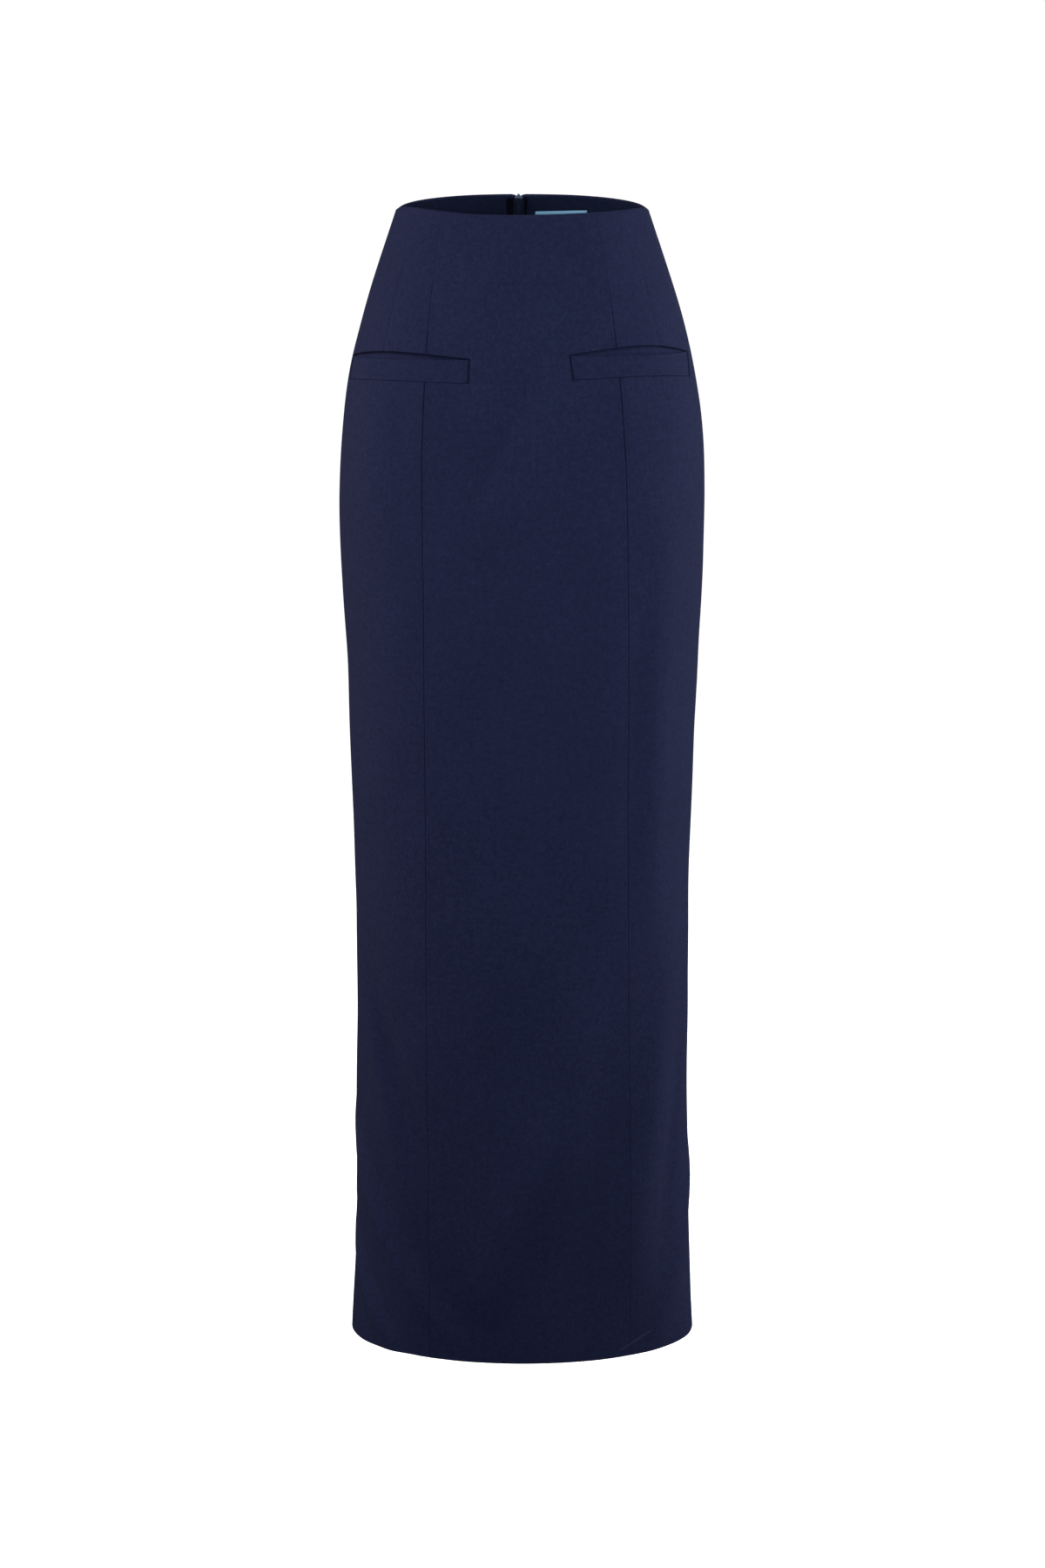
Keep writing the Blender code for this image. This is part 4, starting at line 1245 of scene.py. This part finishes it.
def make_bag(pocket, first, last):
    """Pocket bag: a front layer behind the welt, and a back layer that shows in the mouth."""
    columns = spread_columns([Guide(first, ENDS, ENDS), Guide(last, ENDS, ENDS)])
    lowest = Guide(pocket_row(pocket, "bottom", BAG_DEPTH), ENDS, ENDS)
    nearly_met = (BAG_SPACE - BAG_SEWN_GAP) / 2.0
    welt_top = pocket_row(pocket, "top", 0.0)

    def closing(place):
        """How far each layer moves towards the other at the sewn sides and bottom."""
        edge = np.minimum(np.minimum(place.low, place.high), place.bottom)
        return nearly_met * (1.0 - smooth(edge / BAG_SEWN_EDGE))

    def falling(place):
        """How far the back layer falls away behind the mouth, less how far it rises by its end."""
        below_welt = place.level - welt_top(place.angle)
        side_end = place.low if pocket.side == "right" else place.high
        along_mouth = side_end / (place.low[-1:] - place.low[:1])
        spread = np.exp(-(((along_mouth - MOUTH_SINK_AT) / MOUTH_SINK_SPREAD) ** 2))
        near_mouth = 1.0 - smooth(np.abs(below_welt + MOUTH_SINK_ABOVE) / MOUTH_SINK_REACH)
        fall = near_mouth * (MOUTH_SINK_LEAST + (1.0 - MOUTH_SINK_LEAST) * spread)
        by_end = 1.0 - smooth((side_end - MOUTH_RISE_START) / (MOUTH_RISE_END - MOUTH_RISE_START))
        rise = by_end * (1.0 - smooth(below_welt / BAG_BEHIND_WELT))
        return MOUTH_SINK * fall * (1.0 - by_end) - MOUTH_RISE * rise

    front_in = BAG_OUT - BAG_LAYER
    back_out = front_in - BAG_SPACE
    front_top = Guide(pocket_row(pocket, "top", BAG_BEHIND_WELT), ENDS, ENDS)
    back_top = Guide(pocket_row(pocket, "top", -BAG_ABOVE_MOUTH), ENDS, ENDS)
    front = layer(
        columns,
        spread_rows([front_top, lowest]),
        lambda place: BAG_OUT - closing(place),
        lambda place: front_in - closing(place),
    )
    back = layer(
        columns,
        spread_rows([back_top, lowest]),
        lambda place: back_out + closing(place) - falling(place),
        lambda place: back_out - BAG_LAYER + closing(place) - falling(place),
    )
    node = f"pocket_bag_{pocket.side}"
    cloth_piece(node + "_cloth", [front, back], BAG_CLOTH, node)


def make_zip_tapes():
    outer = -WALL - SEAM_GAP
    inner = outer - ZIP_TAPE_WALL
    step_top, step_bottom = FACING_DEPTH + SEAM_GAP, FACING_DEPTH + ZIP_TAPE_STEP
    drops = (ZIP_TAPE_TOP, step_top, step_bottom, ZIP_LENGTH)
    rows = spread_rows([Guide(hanging(drop), ENDS, ENDS) for drop in drops])
    sides = (
        ("right", "centre_back_right", 1.0, FACING_TO_ZIP_RIGHT),
        ("left", "centre_back_left", -1.0, FACING_TO_ZIP_LEFT),
    )
    for side, seam, sign, facing_edge in sides:

        def far_edge(level, sign=sign, facing_edge=facing_edge):
            beside_facing = level < (step_top + step_bottom) / 2.0
            return sign * np.where(beside_facing, facing_edge - SEAM_GAP, ZIP_TAPE_WIDTH)

        near = moved(SEAMS[seam], lambda level, sign=sign: sign * back_half_gap(level))
        far = moved(SEAMS[seam], far_edge)
        shares = [k / ZIP_TAPE_STRIPS for k in range(ZIP_TAPE_STRIPS + 1)]
        columns = [between(near, far, share) for share in shares]
        if sign < 0.0:
            columns.reverse()

        def from_middle(place, seam=seam):
            middle = SEAMS[seam](place.level)
            return np.abs(place.angle - middle) * speed(middle, place.level)

        tape = layer(columns, rows, lambda place: outer, lambda place: inner, seam=from_middle)
        cloth_piece(f"zip_tape_{side}_cloth", [tape], TAPE, f"zip_tape_{side}")


ASLANT = np.array([0.31, 0.87, 0.38])  # a direction that no thread or wire runs along


def tube(path, radius, sides=6):
    """Points and faces of a closed tube along a path."""
    path = np.asarray(path)
    ahead = np.gradient(path, axis=0)
    ahead /= np.linalg.norm(ahead, axis=1, keepdims=True)
    first = np.cross(ahead, ASLANT)
    first /= np.linalg.norm(first, axis=1, keepdims=True)
    second = np.cross(ahead, first)
    turns = (np.arange(sides) * TURN / sides)[:, None]
    ring = np.cos(turns) * first[:, None] + np.sin(turns) * second[:, None]
    count = len(path)
    k, s = np.meshgrid(np.arange(count - 1), np.arange(sides), indexing="ij")
    here, beside = k * sides + s, k * sides + (s + 1) % sides
    walls = np.stack([here, beside, beside + sides, here + sides], axis=-1).reshape(-1, 4).tolist()
    ends = [list(range(sides))[::-1], list(range((count - 1) * sides, count * sides))]
    return (path[:, None] + radius * ring).reshape(-1, 3).tolist(), walls + ends


def make_coil():
    """The zip's teeth: two flattened spirals whose turns lie between each other."""
    steps = 12
    turns = int((ZIP_LENGTH - COIL_TOP) / COIL_PITCH)
    turn = np.arange(turns * steps + 1) / steps
    tape_in = -WALL - SEAM_GAP - ZIP_TAPE_WALL
    middle_out = tape_in - COIL_DEPTH / 2.0 - COIL_WIRE * COIL_CLEAR
    for side, sign in (("right", -1.0), ("left", 1.0)):
        aside = sign * COIL_WIDTH * (COIL_MIDDLE - 0.5 * np.cos(TURN * turn))
        out = middle_out + COIL_DEPTH / 2.0 * np.sin(TURN * turn)
        level = COIL_TOP + (turn + (0.0 if sign > 0.0 else 0.5)) * COIL_PITCH
        angle = CENTRE_BACK - aside / speed(SEAMS["centre_back_left"](level), level)
        points, faces = tube(cloth_point(angle, level, out), COIL_WIRE)
        new_piece(f"zip_coil_{side}", points, faces, COIL)


def make_label():
    outer = -WALL - SEAM_GAP - FACING_WALL - LABEL_CLEAR
    seam = SEAMS["centre_back_left"]
    first, last = moved(seam, -LABEL_TO_ZIP - LABEL_WIDTH), moved(seam, -LABEL_TO_ZIP)
    sides = [Guide(first, ENDS, GROOVE[:2]), Guide(last, GROOVE[:2], ENDS)]
    columns = spread_columns(sides, spacing=0.002)
    near_zip, far_end = last(LABEL_DROP), first(LABEL_DROP)

    def tilted(row):
        return lambda angle: row(angle) - LABEL_TILT * (near_zip - angle) / (near_zip - far_end)

    top, bottom = tilted(hanging(LABEL_DROP)), tilted(hanging(LABEL_DROP + LABEL_HEIGHT))
    rows = spread_rows([Guide(top, ENDS, STEP), Guide(bottom, STEP, ENDS)], spacing=0.002)

    def lift(place):
        """The label stands a little off the facing between its sewn ends."""
        return LABEL_LIFT * np.sin(math.pi * place.low / place.low[-1:])

    def inner(place):
        return outer - LABEL_WALL - lift(place) + roll(nearest_edge(place), LABEL_WALL / 2.0)

    label = layer(columns, rows, lambda place: outer - lift(place), inner)
    cloth_piece("label_cloth", [label], LABEL, "label")

    stitches = []
    f = np.linspace(0.0, 1.0, 5)
    stitch_out = outer - LABEL_WALL - LABEL_STITCH_OUT - LABEL_STITCH_BOW * np.sin(math.pi * f)
    starts = np.arange(LABEL_STITCH_FIRST, LABEL_HEIGHT - LABEL_STITCH_LAST, LABEL_STITCH_PITCH)
    for inset in (LABEL_TO_ZIP + LABEL_SEWN_IN, LABEL_TO_ZIP + LABEL_WIDTH - LABEL_SEWN_IN):
        for start in starts:
            run = start + LABEL_STITCH_LENGTH * f
            angle = moved(seam, -inset)(LABEL_DROP + run)
            path = cloth_point(angle, top(angle) + run, stitch_out)
            stitches.append(tube(path, LABEL_STITCH_HALF))
    points, faces = joined(stitches)
    new_piece("label_stitches", points, faces, LABEL_THREAD)


# --------------------------------------------------------------------------------- slider and pull


def arc(middle, radius, start, end, steps):
    """Points of an arc, from a start to an end in quarter turns."""
    turns = [(start + (end - start) * k / steps) * math.pi / 2.0 for k in range(steps + 1)]
    return [(middle[0] + radius * math.cos(t), middle[1] + radius * math.sin(t)) for t in turns]


def arch(foot, half, crown, bend, steps):
    """Round-cornered arch of (y, z) points, from its lower foot over its crown to its upper one."""
    curve = arc((bend - half, crown - bend), bend, 2.0, 1.0, steps)
    curve += arc((half - bend, crown - bend), bend, 1.0, 0.0, steps)
    return [(foot, -half)] + [(y, z) for z, y in curve] + [(foot, half)]


def mirrored(outline):
    """An outline's other half, which runs back on the other side of the middle."""
    return [(-x, z) for x, z in reversed(outline)]


def block(outline, low, high, along_x=False):
    """Points and faces of an outline of (x, z) points with a thickness in y, or of (y, z) in x."""
    count = len(outline)
    points = [(t, a, b) if along_x else (a, t, b) for t in (low, high) for a, b in outline]
    faces = [list(range(count)), list(range(2 * count - 1, count - 1, -1))]
    faces += [[(k + 1) % count, k, count + k, count + (k + 1) % count] for k in range(count)]
    if along_x:
        faces = [face[::-1] for face in faces]
    return points, faces


def slider_place():
    """Where the slider stands, and how it leans with the cloth."""
    here, below = (
        Vector(cloth_point(np.array(CENTRE_BACK), np.array(level), 0.0).tolist())
        for level in (SLIDER_LEVEL, SLIDER_LEVEL + 0.001)
    )
    lean = math.atan2(below.y - here.y, here.z - below.z)
    return Matrix.Translation(here) @ Matrix.Rotation(lean, 4, "X")


def metal_piece(name, parts, place, body, rounding):
    points, faces = joined(parts)
    piece = new_piece(name, [place @ Vector(point) for point in points], faces, ENAMEL, body, 60.0)
    bevel = piece.modifiers.new("rounding", "BEVEL")
    bevel.width = rounding
    bevel.segments = 3
    bevel.limit_method = "ANGLE"
    bevel.harden_normals = False
    return piece


def make_zip_slider(place):
    half, bend, lap = SLIDER_HALF, SLIDER_BEND, SLIDER_OVERLAP
    side = [
        (SLIDER_FOOT_HALF, -half),
        (SLIDER_MIDDLE_HALF, SLIDER_MIDDLE_LEVEL),
        (SLIDER_SHOULDER_HALF, SLIDER_SHOULDER_LEVEL),
    ]
    right = side + arc((SLIDER_SHOULDER_HALF - bend, half - bend), bend, 0.0, 1.0, 4)
    right.append((SLIDER_CLEFT, half))
    body = right + [(0.0, half - SLIDER_CLEFT)] + mirrored(right)
    flange = side + [(x - SLIDER_FLANGE, z) for x, z in reversed(side)]
    wedge_side = [(WEDGE_HALF, half - WEDGE_HALF_DROP), (WEDGE_TOP_HALF, half - WEDGE_TOP_DROP)]
    wedge = [(0.0, WEDGE_TIP)] + wedge_side + mirrored(wedge_side)
    neck_levels = (-half + SLIDER_NECK_FOOT, half + SLIDER_NECK_RISE)
    neck_side = [(SLIDER_NECK_HALF, level) for level in neck_levels]
    neck = neck_side + mirrored(neck_side)
    plate_half = SLIDER_PLATE_HALF
    plate = arc((0.0, half - plate_half), plate_half, 0.0, 2.0, 8)
    plate += arc((0.0, -half + plate_half), plate_half, 2.0, 4.0, 8)
    foot, top = SLIDER_PLATE_OUT - lap, SLIDER_PLATE_OUT + BRIDGE_SLOT
    slot = arch(foot, BRIDGE_HALF - BRIDGE_BAR, top, BRIDGE_SLOT_BEND, 4)
    bridge = arch(foot, BRIDGE_HALF, top + BRIDGE_BAR, BRIDGE_BEND, 5) + slot[::-1]
    body_back = SLIDER_BODY_OUT - SLIDER_BODY_DEPTH
    plate_back = SLIDER_PLATE_OUT - SLIDER_PLATE_DEPTH
    inside, outside = body_back + SLIDER_LAYER, SLIDER_BODY_OUT - SLIDER_LAYER
    parts = [
        block(body, body_back, inside),
        block(body, outside, SLIDER_BODY_OUT),
        block(flange, inside - lap, outside + lap),
        block(mirrored(flange), inside - lap, outside + lap),
        block(wedge, inside - lap, outside + lap),
        block(neck, SLIDER_BODY_OUT - lap, plate_back + lap),
        block(plate, plate_back, SLIDER_PLATE_OUT),
        block(bridge, -BRIDGE_HALF_WIDTH, BRIDGE_HALF_WIDTH, along_x=True),
    ]
    slider = metal_piece("zip_slider_metal", parts, place, "skirt", SLIDER_ROUNDING)
    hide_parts("zip_slider")


def make_zip_pull(place):
    """Flat tab with a slot for the bridge, wider and round at its tip."""
    top, tip_middle = PULL_WALL / 2.0, -PULL_LENGTH + PULL_TIP_HALF
    corner = arc((PULL_HALF - PULL_BEND, top - PULL_BEND), PULL_BEND, 0.0, 1.0, 3)
    outline = corner + mirrored(corner) + [(-PULL_HALF, -PULL_HOLE_LENGTH)]
    outline += arc((0.0, tip_middle), PULL_TIP_HALF, 2.0, 4.0, 12)
    outline.append((PULL_HALF, -PULL_HOLE_LENGTH))
    hole = []
    for x, z in outline:
        if z > top - 2.0 * PULL_BEND:
            hole.append((np.clip(x, -PULL_HOLE_HALF, PULL_HOLE_HALF), -top))
            continue
        turn = math.atan2(z - tip_middle, x)
        beside = math.cos(turn) if z < -PULL_HOLE_LENGTH else math.copysign(1.0, x)
        rise = PULL_HOLE_CORNER * (1.0 - abs(math.sin(turn)))
        hole.append((PULL_HOLE_HALF * beside, rise - top - PULL_HOLE_LENGTH))
    count = len(outline)
    points = [(x, y, z) for y in (-top, top) for ring in (outline, hole) for x, z in ring]
    faces = []
    for k in range(count):
        after = (k + 1) % count
        faces.append([k, after, count + after, count + k])
        faces.append([3 * count + k, 3 * count + after, 2 * count + after, 2 * count + k])
        faces.append([after, k, 2 * count + k, 2 * count + after])
        faces.append([count + k, count + after, 3 * count + after, 3 * count + k])
    hinge_level = top + SEAM_GAP - (BRIDGE_HALF - BRIDGE_BAR)
    hinge = Vector((0.0, SLIDER_PLATE_OUT + BRIDGE_SLOT / 2.0, hinge_level))
    hanging_place = place @ Matrix.Translation(hinge) @ Matrix.Rotation(-PULL_REST, 4, "X")
    pull = metal_piece("zip_pull_tab", [(points, faces)], hanging_place, "zip_pull", PULL_ROUNDING)
    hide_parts("zip_pull")


# --------------------------------------------------------------------------- floor, light, camera


FLOOR_LEVEL = -1.150
FLOOR_REACH = 14.0
FILL = 0.05  # strength of the light from all round
BACKDROP = 1.0


def make_floor():
    """Pale floor well below the hem, which throws no light on the cloth."""
    look = Look("floor")
    pale = look.finish(
        Base_Color=colour(0.9, 0.9, 0.9),
        Roughness=0.9,
        Emission_Color=colour(1.0, 1.0, 1.0),
        Emission_Strength=1.0,
    )
    mesh = bpy.data.meshes.new("floor")
    corners = [(-1.0, -1.0), (1.0, -1.0), (1.0, 1.0), (-1.0, 1.0)]
    points = [(FLOOR_REACH * x, FLOOR_REACH * y, FLOOR_LEVEL) for x, y in corners]
    mesh.from_pydata(points, [], [(0, 1, 2, 3)])
    mesh.materials.append(pale)
    floor = bpy.data.objects.new("floor", mesh)
    floor.visible_diffuse = False
    floor.visible_glossy = False
    bpy.context.scene.collection.objects.link(floor)


def make_world():
    """White backdrop for the camera, and a softer all-round fill for the cloth."""
    world = bpy.data.worlds.new("studio")
    world.use_nodes = True
    bpy.context.scene.world = world
    tree = world.node_tree
    tree.nodes.clear()
    ray = tree.nodes.new("ShaderNodeLightPath")
    both = tree.nodes.new("ShaderNodeMixShader")
    output = tree.nodes.new("ShaderNodeOutputWorld")
    tree.links.new(ray.outputs["Is Camera Ray"], both.inputs[0])
    for side, strength in ((1, FILL), (2, BACKDROP)):
        light = tree.nodes.new("ShaderNodeBackground")
        light.inputs["Color"].default_value = colour(1.0, 1.0, 1.0)
        light.inputs["Strength"].default_value = strength
        tree.links.new(light.outputs[0], both.inputs[side])
    tree.links.new(both.outputs[0], output.inputs["Surface"])


Softbox = namedtuple("Softbox", "name place aim_height width height spread power tint")
WHITE = (1.0, 1.0, 1.0)
CREAM = (1.0, 0.965, 0.940)
ROSE = (1.0, 0.82, 0.74)
COOL = (0.84, 0.93, 1.0)
SOFTBOXES = (
    Softbox("front_softbox", (0.0, -1.5, 0.0), -0.32, 1.0, 1.0, 120.0, 6.9, COOL),
    Softbox("front_left_softbox", (-1.3, -1.6, 0.7), -0.12, 0.8, 0.8, 180.0, 2.5, WHITE),
    Softbox("front_right_softbox", (1.3, -1.6, 0.7), -0.12, 0.8, 0.8, 180.0, 4.0, WHITE),
    Softbox("left_softbox", (-1.7, -0.5, 0.60), -0.20, 0.6, 0.9, 180.0, 28.5, CREAM),
    Softbox("left_rim_softbox", (-1.6, 0.7, -0.3), -0.45, 0.6, 0.9, 180.0, 15.5, ROSE),
    Softbox("right_softbox", (1.7, -0.5, 0.32), -0.30, 0.6, 0.9, 180.0, 23.6, WHITE),
    Softbox("right_rim_softbox", (1.6, 0.7, -0.4), -0.50, 0.6, 0.9, 180.0, 20.5, WHITE),
    Softbox("back_softbox", (0.4, 2.4, 0.7), -0.30, 1.2, 1.2, 180.0, 22.0, WHITE),
)


def make_lights():
    for box in SOFTBOXES:
        light = bpy.data.lights.new(box.name, "AREA")
        light.shape = "RECTANGLE"
        light.size, light.size_y = box.width, box.height
        light.spread = math.radians(box.spread)
        light.energy, light.color = box.power, box.tint
        holder = bpy.data.objects.new(box.name, light)
        holder.location = box.place
        holder.visible_camera = False
        aim = Vector((0.0, 0.0, box.aim_height)) - Vector(box.place)
        holder.rotation_euler = aim.to_track_quat("-Z", "Y").to_euler()
        bpy.context.scene.collection.objects.link(holder)


CAMERA_PLACE = (0.0002, -4.5, 0.481)
CAMERA_DOWN = 12.466  # degrees below level
CAMERA_LENS = 118.58  # millimetres, on a sensor 36 wide
CAMERA_SENSOR = 36.0


def make_camera():
    lens = bpy.data.cameras.new("camera")
    lens.lens, lens.sensor_width = CAMERA_LENS, CAMERA_SENSOR
    camera = bpy.data.objects.new("camera", lens)
    camera.location = CAMERA_PLACE
    camera.rotation_euler = (math.radians(90.0 - CAMERA_DOWN), 0.0, 0.0)
    bpy.context.scene.collection.objects.link(camera)
    bpy.context.scene.camera = camera


make_panels()
make_facings()
make_pockets()
make_zip_tapes()
make_coil()
make_label()
make_zip_slider(slider_place())
make_zip_pull(slider_place())

make_floor()
make_world()
make_lights()
make_camera()
bpy.context.scene.view_settings.view_transform = "Standard"
